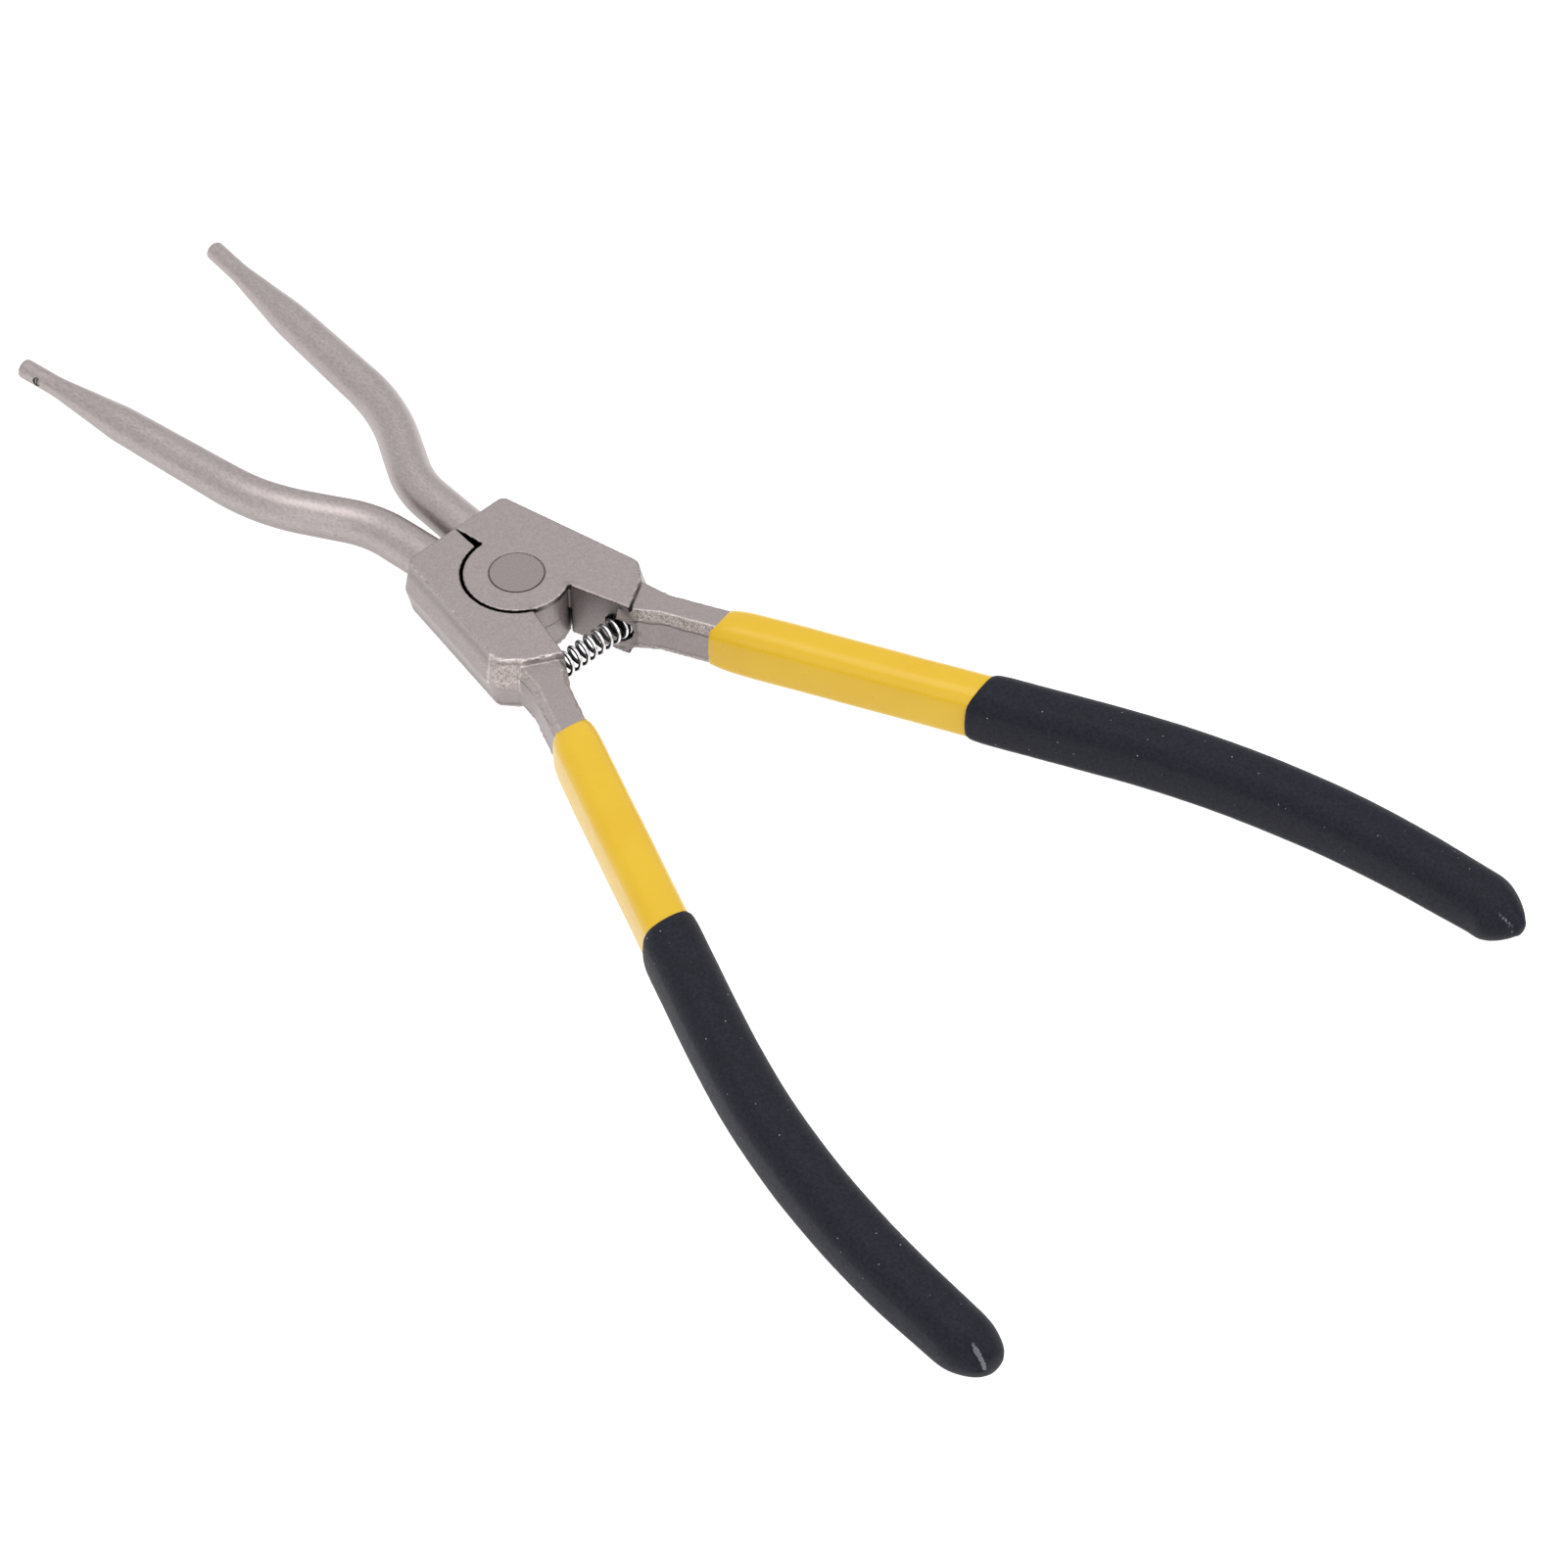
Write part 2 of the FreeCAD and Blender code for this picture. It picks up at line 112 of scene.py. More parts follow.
JOINT_LINE = 10.15 * MM                 # radius of the gap between a lug and the other half
NEAR_TOP = 0.3 * MM                     # this near the head's top is the top or its rim
AT_TOP = 0.05 * MM                      # and this near is the ground face itself


def add(material, kind, sockets=(), **settings):
    """One shader node. A socket given another socket is linked, and one given a value is set."""
    tree = material.node_tree
    node = tree.nodes.new("ShaderNode" + kind)
    for key, value in settings.items():
        setattr(node, key, value)
    for key, value in dict(sockets).items():
        if isinstance(value, bpy.types.NodeSocket):
            tree.links.new(value, node.inputs[key])
        else:
            node.inputs[key].default_value = value
    return node


def finish_named(name, **sockets):
    """A material with its shader, whose plain sockets are set here."""
    material = bpy.data.materials.new(name)
    material.use_nodes = True
    shader = material.node_tree.nodes["Principled BSDF"]
    for key, value in sockets.items():
        shader.inputs[key.replace("_", " ")].default_value = value
    return material, shader


def into(shader, socket, output):
    shader.id_data.links.new(output, shader.inputs[socket])


def place_on(material):
    return add(material, "TexCoord").outputs["Object"]


def mottle(material, size, detail=2.0, roughness=0.5, stretch=(1, 1, 1)):
    """Soft noise whose patches are about the given size."""
    place = place_on(material)
    turned = add(material, "Mapping", {"Vector": place, "Scale": stretch}).outputs["Vector"]
    return add(material, "TexNoise", {
        "Vector": turned, "Scale": 1 / size, "Detail": detail, "Roughness": roughness,
    }).outputs["Fac"]


def marked(material, name):
    """A mark that the mesh carries, from 0 to 1."""
    return add(material, "Attribute", attribute_name=name).outputs["Fac"]


def spread(material, factor, low, high, start=0.3, end=0.7):
    return add(material, "MapRange", {
        "Value": factor, "From Min": start, "From Max": end, "To Min": low, "To Max": high,
    }).outputs["Result"]


def tinted(material, factor, *stops):
    """Colours along a factor, each given as (place, (red, green, blue))."""
    node = add(material, "ValToRGB", {"Fac": factor})
    ramp = node.color_ramp
    while len(ramp.elements) < len(stops):
        ramp.elements.new(0.5)
    for element, (place, colour) in zip(ramp.elements, stops):
        element.position = place
        element.color = (*colour, 1)
    return node.outputs["Color"]


def mixed(material, factor, under, over):
    node = add(material, "MixRGB", {"Fac": factor, "Color1": under, "Color2": over})
    return node.outputs["Color"]


def relief(material, height, depth, below=None):
    """Fine relief of the given depth, on top of another one."""
    node = add(material, "Bump", {"Height": height, "Strength": 1.0, "Distance": depth})
    if below:
        material.node_tree.links.new(below, node.inputs["Normal"])
    return node.outputs["Normal"]


def combined(material, operation, a, b):
    return add(material, "Math", {0: a, 1: b}, operation=operation).outputs["Value"]


def mesh_of(name, bm):
    """The finished mesh of a bmesh, which is freed."""
    mesh = bpy.data.meshes.new(name)
    bm.to_mesh(mesh)
    bm.free()
    return mesh


def piece_of(name, mesh, material):
    piece = bpy.data.objects.new(name, mesh)
    bpy.context.scene.collection.objects.link(piece)
    mesh.materials.clear()
    mesh.materials.append(material)
    return piece


def settle(piece):
    """Make the piece's modifiers real in its mesh."""
    bpy.context.view_layer.update()
    shaped = piece.evaluated_get(bpy.context.evaluated_depsgraph_get())
    mesh = bpy.data.meshes.new_from_object(shaped)
    piece.modifiers.clear()
    piece.data = mesh


def smoothed(mesh, sharp=40):
    """The mesh shaded smooth, but not over edges of more than so many degrees."""
    mesh.shade_smooth()
    mesh.set_sharp_from_angle(angle=math.radians(sharp))
    return mesh


def points_of(mesh):
    points = np.zeros(len(mesh.vertices) * 3)
    mesh.vertices.foreach_get("co", points)
    return points.reshape(-1, 3)


def normals_of(mesh):
    normals = np.zeros(len(mesh.vertices) * 3)
    mesh.vertex_normals.foreach_get("vector", normals)
    return normals.reshape(-1, 3)


def move_points(mesh, points):
    mesh.vertices.foreach_set("co", points.ravel())
    mesh.update()


def mark(mesh, name, values):
    mesh.attributes.new(name, "FLOAT", "POINT").data.foreach_set("value", values)


def cloud(points, size, offset=0.0):
    """Noise from -1 to 1 at each point, with bumps of about the given size."""
    scaled = points / size + offset
    return np.array([noise.noise(Vector(point)) for point in scaled])


def own_side(points, side):
    """Points of either half, seen as the left half's."""
    turn = SIDES[side]
    middle = points - np.array((0, 0, MID))
    return middle * np.array((1, turn, turn))


def along_tang(points):
    """Distance behind the handle's root and offset outwards from its centre line."""
    back = np.array((-math.cos(HANDLE_SPLAY), math.sin(HANDLE_SPLAY), 0))
    outward = np.array((math.sin(HANDLE_SPLAY), math.cos(HANDLE_SPLAY), 0))
    from_root = points - np.array(HANDLE_ROOT)
    return from_root @ back, from_root @ outward


def lever_half(source, keep_head):
    """The lever cut across under the yellow dip, as its head end or its hidden tang."""
    bm = bmesh.new()
    bm.from_mesh(source)
    bmesh.ops.remove_doubles(bm, verts=bm.verts, dist=WELD_DISTANCE)
    cut = bmesh.ops.bisect_plane(
        bm, geom=bm.verts[:] + bm.edges[:] + bm.faces[:], plane_co=(TANG_CUT_X, 0, 0),
        plane_no=(1, 0, 0), clear_inner=keep_head, clear_outer=not keep_head)
    rim = [part for part in cut["geom_cut"] if isinstance(part, bmesh.types.BMEdge)]
    bmesh.ops.holes_fill(bm, edges=rim)
    return mesh_of("lever_half", bm)


def fill_creases(mesh, weight):
    """Work a soft fillet into hollow corners, where the weight allows it."""
    edges = np.zeros(len(mesh.edges) * 2, int)
    mesh.edges.foreach_get("vertices", edges)
    edges = edges.reshape(-1, 2)
    chosen = weight > 0
    edges = edges[chosen[edges].any(axis=1)]
    count = np.maximum(np.bincount(edges.ravel(), minlength=len(weight)), 1)[:, None]
    for _ in range(FILLET_PASSES):
        points, normals = points_of(mesh), normals_of(mesh)
        total = np.zeros_like(points)
        for here, there in ((0, 1), (1, 0)):
            for axis in range(3):
                total[:, axis] += np.bincount(
                    edges[:, here], points[edges[:, there], axis], len(points))
        pull = total / count - points
        hollow = np.maximum((pull * normals).sum(axis=1), 0) * weight
        move_points(mesh, points + normals * hollow[:, None])


def inside_pocket(own):
    """How deep in the spring's pocket a point on its wall or floor is, from 0 to 1."""
    from_axis = np.hypot(own[:, 0] - SPRING_X, own[:, 2])
    face = GAP_CORNER.y + (GAP_CORNER.x - own[:, 0]) * math.tan(GAP_FACE_ANGLE)
    deep = (own[:, 1] > face + 0.25 * MM) & (own[:, 1] < POCKET_FLOOR + 0.2 * MM)
    wall = deep & (from_axis < POCKET_RADIUS + 0.08 * MM)
    return wall * np.clip((own[:, 1] - face) / (2.2 * MM), 0.4, 1)


def line_at(values, place, width):
    return np.exp(-((values - place) / width) ** 2)


class LeverSkin:
    """A lever's skin, point by point: place, slope, noise, and how much of each feature is there."""

    def __init__(self, mesh, side):
        self.side = side
        self.points, self.normals = points_of(mesh), normals_of(mesh)
        self.own = own_side(self.points, side)
        self.facing = self.normals * np.array((1, SIDES[side], SIDES[side]))
        self.back, self.outward = along_tang(self.own)
        self.from_pivot = np.hypot(self.own[:, 0], self.own[:, 1])
        self.level = np.abs(self.own[:, 2])
        self.steep = np.abs(self.facing[:, 2])
        self.flat = self.steep > 0.97
        self.gap_face = (self.facing[:, 1] < -0.9) & (self.back < 5 * MM) & (self.outward < 0)
        self.tang = np.clip((self.back - 1.5 * MM) / (2.5 * MM), 0, 1)
        self.bevel = self.tang * np.clip(1 - np.abs(self.steep - 0.5) / 0.4, 0, 1)
        self.coarse = cloud(self.points, 0.8 * MM)
        self.fine = cloud(self.points, 0.42 * MM, 7.3)
        self.wander = cloud(self.points * np.array((1, 1, 0)), 3.2 * MM, 2.1)
        self.find_edges()
        self.find_scar()

    def find_edges(self):
        """The flash line along the tang, the head's ragged edges and the lug's burr."""
        own, level, steep = self.own, self.level, self.steep
        self.shoulder = TANG_SHOULDER + FLASH_WANDER * self.wander * np.sign(own[:, 2])
        self.flash = self.tang * line_at(level, self.shoulder, FLASH_WIDTH) * (steep < 0.9)
        near_top = (level > HEAD_TOP - 0.35 * MM) & (steep < 0.95)
        self.top_edge = near_top & (self.from_pivot > JOINT_RADIUS)
        self.rear_edge = self.top_edge & (self.facing[:, 0] < -0.3) & (self.outward > -4 * MM)
        rim = (np.abs(self.from_pivot - LUG_RADIUS) < 0.35 * MM) & (level > HEAD_TOP - NEAR_TOP)
        open_rim = rim & (own[:, 2] < 0) & (own[:, 0] < 0) & (np.abs(own[:, 1]) < 5.0 * MM)
        self.burr = open_rim * np.clip(1.6 * self.fine + 0.7 * self.coarse, 0, 1) * (steep < 0.95)

    def find_scar(self):
        """The rough scar on the left half's corner, and the forging's parting line under it."""
        from_scar = self.own - np.array(SCAR_CENTRE)
        beside = np.hypot(from_scar[:, 0], from_scar[:, 1])
        self.reach = np.maximum(beside / SCAR_SPAN, np.abs(from_scar[:, 2]) / SCAR_RISE)
        scar = np.clip(2.2 * (1 - self.reach) + 0.7 * self.coarse, 0, 1)
        self.scar = scar * (self.own[:, 2] > 0) * (self.side == "left")
        self.scar[self.flat & (self.level > HEAD_TOP - AT_TOP)] = 0
        mid_line = line_at(self.own[:, 2], 0, 0.14 * MM)
        self.parting = mid_line * (beside < 4.2 * MM) * (self.from_pivot > 15 * MM)


def forged_height(skin):
    """How far each point stands off the ground shape: grain, flash line, burrs and scar."""
    coarse, fine = skin.coarse, skin.fine
    ground = (skin.flat & (skin.level > HEAD_TOP - NEAR_TOP)) | (skin.from_pivot < JOINT_RADIUS)
    smooth = ground | skin.gap_face | (skin.facing[:, 0] > 0.9)
    grain = SKIN_GRAIN * np.where(smooth, 0.08, 0.5 - 0.2 * skin.tang) + BEVEL_GRAIN * skin.bevel
    grain[skin.from_pivot < JOINT_RADIUS] = 0
    height = grain * (coarse + 0.8 * fine)
    height += FLASH_HEIGHT * skin.flash * (1 + 0.9 * coarse)
    height += EDGE_RAGGED * skin.rear_edge * (fine + coarse + 2 * skin.wander)
    height += BURR_HEIGHT * skin.burr
    height += SCAR_GRAIN * skin.scar * (0.2 + 0.7 * coarse + 0.7 * fine)
    height += PARTING_HEIGHT * skin.parting * (fine > 0)
    return np.minimum(height, np.where(skin.level > HEAD_TOP - AT_TOP, 0, 1))


def raw_share(skin):
    """Where the forging is left rough."""
    bevel = skin.bevel * np.where(skin.outward < 0, 0.95, 0.3)
    return np.clip(bevel + 0.35 * skin.flash + skin.scar + 0.5 * skin.burr, 0, 1)


def bare_and_highlight_share(skin):
    """Edges made bright: partly wear from handling and grinding, partly a painted highlight along
    them.
    """
    level, steep, fine, left = skin.level, skin.steep, skin.fine, skin.side == "left"
    upper_edge = (steep < 0.95) & (np.abs(skin.outward) > 1.9 * MM) & (skin.back > 2.5 * MM)
    bare_and_highlight = 0.6 * skin.tang * line_at(level, TANG_HALF_HEIGHT - 0.1 * MM, 0.12 * MM) * upper_edge
    bare_and_highlight += left * line_at(skin.reach, 0.93, 0.06) * (skin.own[:, 2] > 0) * (level < HEAD_TOP)
    fine_edge = skin.top_edge & (level > HEAD_TOP - 0.22 * MM) & (skin.facing[:, 1] > 0.3)
    bare_and_highlight += 0.8 * fine_edge * np.clip(2.2 * fine - 0.15, 0, 1)
    bare_and_highlight += 0.85 * skin.rear_edge * np.clip(0.4 + fine + 0.6 * skin.coarse, 0, 1) * left
    bare_and_highlight += 0.6 * skin.parting * (fine > -0.1) + 0.5 * skin.burr
    return np.clip(bare_and_highlight * (0.7 + fine), 0, 1)


def joint_lines_and_gap_shade(skin):
    """The dark lines of the lap joint round the rivet and the lug, with painted shade on the lug's
    walls down in the gap and on the stop faces.
    """
    own, facing, level, from_pivot = skin.own, skin.facing, skin.level, skin.from_pivot
    below = level < HEAD_TOP - BAND
    seat = line_at(from_pivot, RIVET_RADIUS, 0.13 * MM) * (level > HEAD_TOP - NEAR_TOP)
    open_gap = (own[:, 0] < 0) & (np.abs(own[:, 1]) < 4.6 * MM)
    radial = np.abs((own[:, :2] * facing[:, :2]).sum(axis=1)) / from_pivot
    lap = below & (radial > 0.4) & (np.abs(from_pivot - JOINT_LINE) < 0.6 * MM) & ~open_gap
    lap &= (own[:, 0] > 0) | (np.abs(own[:, 1]) > 5.4 * MM)
    lap_edge = (skin.steep < 0.93) & (level > HEAD_TOP - NEAR_TOP)
    lap = lap | (lap_edge & (np.abs(from_pivot - JOINT_LINE) < 0.5 * MM) & ~open_gap)
    near_stop = (np.abs(own[:, 0] - 12 * MM) < 3.2 * MM) & (np.abs(own[:, 1]) < 1.2 * MM)
    return seat + lap + (below & near_stop & (facing[:, 1] < -0.7))


def root_painted_shade(skin):
    """Painted shade in the gap's inner corner, more of it lower down, and on the step and crease
    where the tang meets the head.
    """
    own, facing, level, steep = skin.own, skin.facing, skin.level, skin.steep
    from_corner = np.hypot(own[:, 0] - GAP_CORNER.x, np.abs(own[:, 1]) - GAP_CORNER.y)
    corner = line_at(from_corner, 0, 1.1 * MM) * (0.42 - 0.25 * level / HEAD_TOP)
    corner += 0.4 * line_at(from_corner, 0, 0.35 * MM)
    step = (steep < 0.8) & (level > TANG_HALF_HEIGHT - 0.15 * MM) & (level < HEAD_TOP - 0.2 * MM)
    step = step * (facing[:, 0] < -0.3) * np.clip(0.75 + 0.8 * skin.wander, 0.2, 1)
    step *= 0.85 if skin.side == "right" else 0.05
    crease = line_at(level, TANG_HALF_HEIGHT + 0.15 * MM, 0.25 * MM) * (facing[:, 0] < -0.12)
    step += 0.3 * crease * (steep < 0.98) * (skin.side == "left") * (skin.back < 4 * MM)
    return corner + step


def side_painted_shade(skin):
    """Painted shade under the flash line, stronger on the upper side, and under the lower edge, and
    over the faces that look inwards.
    """
    level, steep, tang, outward = skin.level, skin.steep, skin.tang, skin.outward
    under_flash = 0.8 * tang * line_at(level, skin.shoulder - 0.27 * MM, 0.14 * MM) * (steep < 0.8)
    under_flash *= np.where(skin.points[:, 2] > MID, 1, 0.25)
    under_edge = 0.22 * line_at(level, 4.2 * MM, 1.0 * MM) * (skin.facing[:, 1] > 0.7)
    inner_rear = (outward < -2.8 * MM) & (skin.own[:, 0] < -17.5 * MM) & (skin.back < 4 * MM)
    inner_side = np.where((outward < 0) & (steep < 0.6), 0.2, 0.05)
    return (under_flash + under_edge * (skin.back < 0) + 0.24 * skin.gap_face + tang * inner_side
            + 0.3 * (inner_rear & ~skin.gap_face) * (steep < 0.9))


def forge_skin(mesh, side):
    """Give the ground mesh the forging's relief, and the marks that its finish reads."""
    skin = LeverSkin(mesh, side)
    move_points(mesh, skin.points + skin.normals * forged_height(skin)[:, None])
    mark(mesh, "raw", raw_share(skin))
    mark(mesh, "bare_and_highlight", bare_and_highlight_share(skin))
    # Mostly painted shade in corners, gaps, the pocket and on inward faces, plus the dark joint
    # lines as grime.
    dark = joint_lines_and_gap_shade(skin) + root_painted_shade(skin) + side_painted_shade(skin)
    # Painted shade down in the spring's pocket, darker deeper in.
    mark(mesh, "grime_and_shade", np.clip(dark + 0.96 * inside_pocket(skin.own), 0, 1))


def forged_lever(side, material):
    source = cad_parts[side + "_lever"].data
    lever = piece_of(side + "_forged_lever", lever_half(source, True), material)
    skin = lever.modifiers.new("skin", "REMESH")
    skin.mode = "VOXEL"
    skin.voxel_size = SKIN_VOXEL
    settle(lever)
    own = own_side(points_of(lever.data), side)
    back, outward = along_tang(own)
    away = np.hypot(back - FILLET_CENTRE, outward)
    outer = np.clip(outward / (1.5 * MM), 0.2, 1)
    below_top = np.clip((TANG_HALF_HEIGHT - np.abs(own[:, 2])) / (0.7 * MM), 0, 1)
    fill_creases(lever.data, np.clip(2 - 2 * away / FILLET_REACH, 0, 1) * outer * below_top)
    forge_skin(lever.data, side)
    bm = bmesh.new()
    bm.from_mesh(lever.data)
    bm.from_mesh(lever_half(source, False))
    bm.to_mesh(lever.data)
    bm.free()
    lever.data.shade_smooth()
    return lever


NICKEL_DEEP = (0.272, 0.239, 0.237)
NICKEL = (0.346, 0.304, 0.301)
NICKEL_PITTED = (0.25, 0.216, 0.205)
NICKEL_RAW = (0.56, 0.50, 0.48)
NICKEL_BARE_AND_HIGHLIGHT = (0.66, 0.60, 0.575)
GRIME_AND_SHADE = (0.014, 0.012, 0.011)

satin_forging, shader = finish_named("satin_forging", Metallic=1.0)
speckle = mottle(satin_forging, 0.42 * MM, detail=4.0, roughness=0.7)
body_tone = tinted(satin_forging, speckle, (0.35, NICKEL_DEEP), (0.65, NICKEL))
grit = mottle(satin_forging, 0.36 * MM, detail=4.0, roughness=0.75)
grit_tone = tinted(satin_forging, grit, (0.37, NICKEL_PITTED), (0.56, NICKEL_RAW))
raw_tone = mixed(satin_forging, marked(satin_forging, "raw"), body_tone, grit_tone)
# Painted highlight and wear: edges lightened towards bare nickel.
bare_and_highlight_tone = mixed(satin_forging, marked(satin_forging, "bare_and_highlight"), raw_tone, (*NICKEL_BARE_AND_HIGHLIGHT, 1))
# Painted shade and grime: the mark darkens the nickel towards near-black.
full_tone = mixed(satin_forging, marked(satin_forging, "grime_and_shade"), bare_and_highlight_tone, (*GRIME_AND_SHADE, 1))
into(shader, "Base Color", full_tone)
worn = spread(satin_forging, mottle(satin_forging, 2.5 * MM, detail=4.0), 0.40, 0.46)
dull = combined(satin_forging, "MULTIPLY", marked(satin_forging, "raw"), 0.12)
into(shader, "Roughness", combined(satin_forging, "ADD", worn, dull))
grind = relief(satin_forging, mottle(satin_forging, 0.35 * MM, detail=3.0), 0.008 * MM)
pitting = combined(satin_forging, "MULTIPLY", grit, marked(satin_forging, "raw"))
into(shader, "Normal", relief(satin_forging, pitting, 0.16 * MM, grind))

for side in SIDES:
    lever = forged_lever(side, satin_forging)
    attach(lever, side + "_half")
    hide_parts(side + "_lever")

# -----------------------------------------------------------------------------
# Jaw rods
# Two slim steel bars, brazed by a spigot into the front of the heads, bent outwards and then
# nearly straight, and tapered to small cylindrical tips that are bored for exchangeable points.
# They are linished round and plated with the levers.

ROD_ROOT = Vector((16.5, 5.0, 0)) * MM
ROD_RADII = (4.3 * MM, 3.975 * MM, 3.55 * MM, 1.95 * MM)   # root, after the bends, shank, tip
ROD_SPLAYS = [math.radians(angle) for angle in (4.2, 29.6, 6.6)]
ROD_RUNS = {                            # along X: to the first bend, the second and the tip
    "left": (15.7 * MM, 19.3 * MM, 59.8 * MM),
    "right": (18.3 * MM, 18.9 * MM, 57.6 * MM),
}
ROD_BENDS = (22.0 * MM, 42.0 * MM)
TAPER_LENGTH = 17.0 * MM
TIP_LENGTH = 8.5 * MM
TIP_CHAMFER = 0.35 * MM
SPIGOT_RADIUS = 3.0 * MM
SPIGOT_LENGTH = 4.8 * MM
BRAZE_FILLET = 0.5 * MM
SOCKET_RADIUS = 1.0 * MM
SOCKET_DEPTH = 9.0 * MM
SOCKET_CHAMFER = 0.12 * MM
ROOT_TURN = 4.0 * MM                    # over which the rod's section turns square to its line
ROD_STEP = 0.9 * MM
ROD_AROUND = 56
ROD_WAVER = 0.035 * MM
SCREW_HOLE_RADIUS = 0.9 * MM
SCREW_SETBACK = 4.9 * MM
SCREW_TILT = math.radians(14.0)
DRILL_REACH = 4.0 * MM


def heading(angle):
    return Vector((math.cos(angle), math.sin(angle), 0))


def walk(start, angle, runs, distance):
    """Point and heading at a distance along straight runs and bends, each (length, turn)."""
    point = start
    for number, (length, turn) in enumerate(runs):
        last = number == len(runs) - 1
        here = distance if last else min(distance, length)
        if turn:
            radius = length / turn
            swept = here / radius
            inward = heading(angle - math.pi / 2)
            point = point + radius * (heading(angle + swept - math.pi / 2) - inward)
            angle += swept
        else:
            point = point + heading(angle) * here
        distance -= here
        if distance <= 0:
            break
    return point, angle


def rod_runs(side):
    """Straight runs and bends of a rod's centre line."""
    legs = [run / math.cos(splay) for run, splay in zip(ROD_RUNS[side], ROD_SPLAYS)]
    turns = [after - before for before, after in zip(ROD_SPLAYS, ROD_SPLAYS[1:])]
    cuts = [radius * math.tan(abs(turn) / 2) for radius, turn in zip(ROD_BENDS, turns)]
    arcs = [(radius * abs(turn), turn) for radius, turn in zip(ROD_BENDS, turns)]
    return [(legs[0] - cuts[0], 0), arcs[0], (legs[1] - cuts[0] - cuts[1], 0), arcs[1],
            (legs[2] - cuts[1], 0)]


def rolled(name, rings, around, place, sharp=40):
    """A closed skin: a flat grid whose every point is placed, rolled up and welded."""
    bm = bmesh.new()
    bmesh.ops.create_grid(bm, x_segments=around, y_segments=rings - 1, size=1)
    assert len(bm.verts) == rings * (around + 1)
    for index, vert in enumerate(bm.verts):
        ring, step = divmod(index, around + 1)
        vert.co = place(ring, 2 * math.pi * step / around)
    bmesh.ops.remove_doubles(bm, verts=bm.verts, dist=WELD_DISTANCE)
    bmesh.ops.recalc_face_normals(bm, faces=bm.faces)
    return smoothed(mesh_of(name, bm), sharp)


def placed_on(side, point):
    """A point of the left half's mid-plane frame, on either half."""
    turn = SIDES[side]
    return Vector((point.x, point.y * turn, point.z * turn + MID))


def rod_profile(runs):
    """Distance along the rod and radius, from inside the head round to the socket's end."""
    length = sum(run for run, turn in runs)
    bent = length - runs[-1][0]
    tip_start = length - TIP_LENGTH
    taper_start = tip_start - TAPER_LENGTH
    knots = (0, bent, taper_start, tip_start, length)
    radii = (*ROD_RADII, ROD_RADII[-1])
    profile = [(-SPIGOT_LENGTH, 0), (-SPIGOT_LENGTH, SPIGOT_RADIUS - TIP_CHAMFER),
               (TIP_CHAMFER - SPIGOT_LENGTH, SPIGOT_RADIUS), (0, SPIGOT_RADIUS)]
    for step in range(6):
        angle = step / 5 * math.pi / 2
        profile.append((BRAZE_FILLET * (1 - math.cos(angle)),
                        ROD_RADII[0] + BRAZE_FILLET * (1 - math.sin(angle))))
    stations = np.arange(BRAZE_FILLET + ROD_STEP, length - 2 * TIP_CHAMFER, ROD_STEP)
    soft = [np.interp(stations + shift * MM, knots, radii) for shift in (-1.2, -0.6, 0, 0.6, 1.2)]
    profile += list(zip(stations, np.mean(soft, axis=0)))
    tip = ROD_RADII[-1]
    profile += [(length - TIP_CHAMFER, tip), (length - TIP_CHAMFER * 0.3, tip - TIP_CHAMFER * 0.3),
                (length, tip - TIP_CHAMFER), (length, SOCKET_RADIUS + SOCKET_CHAMFER),
                (length - SOCKET_CHAMFER, SOCKET_RADIUS), (length - SOCKET_DEPTH, SOCKET_RADIUS),
                (length - SOCKET_DEPTH, 0)]
    return profile


def rod_point(side, runs, distance, radius, angle):
    """A point of the rod's skin. Its root stands square on the head's front face."""
    if distance <= 0:
        point, turned = ROD_ROOT + Vector((distance, 0, 0)), 0.0
    else:
        point, turned = walk(ROD_ROOT, ROD_SPLAYS[0], runs, distance)
        turned *= min(1.0, distance / ROOT_TURN)
    across = heading(turned + math.pi / 2)
    spot = point + across * (radius * math.cos(angle)) + Vector((0, 0, radius * math.sin(angle)))
    waver = ROD_WAVER * noise.noise(spot / (5 * MM) + Vector((SIDES[side], 0, 0)))
    if BRAZE_FILLET < distance and radius > ROD_RADII[-1] + 0.1 * MM:
        spot += (spot - point).normalized() * (waver - ROD_WAVER / 2)
    return spot


def round_bar(name, radius, start, end, material):
    """A plain turned pin between two points."""
    bm = bmesh.new()
    bmesh.ops.create_cone(bm, cap_ends=True, segments=40, radius1=radius, radius2=radius,
                          depth=(end - start).length)
    turn = (end - start).to_track_quat("Z", "Y").to_matrix().to_4x4()
    bmesh.ops.transform(bm, matrix=Matrix.Translation((start + end) / 2) @ turn, verts=bm.verts)
    return piece_of(name, mesh_of(name, bm), material)


def cut_by(piece, tool):
    """Cut a tool's shape out of a piece, and put the tool away."""
    cut = piece.modifiers.new("cut", "BOOLEAN")
    cut.operation, cut.solver, cut.object = "DIFFERENCE", "EXACT", tool
    settle(piece)
    bpy.data.objects.remove(tool)
    smoothed(piece.data)


def screw_line(side):
    """Where a tip screw's axis crosses its socket, and the way out of the rod."""
    runs = rod_runs(side)
    length = sum(run for run, turn in runs)
    point, turned = walk(ROD_ROOT, ROD_SPLAYS[0], runs, length - SCREW_SETBACK)
    out = heading(turned + math.pi / 2) * math.cos(SCREW_TILT)
    out.z = SIDES[side] * math.sin(SCREW_TILT)
    start = placed_on(side, point)
    return start, (placed_on(side, point + out) - start).normalized()


ROD_DEEP = (0.295, 0.261, 0.256)
ROD_PALE = (0.415, 0.369, 0.362)
ROD_UNDERSIDE_SHADE = (0.190, 0.166, 0.161)       # painted shade on the undersides

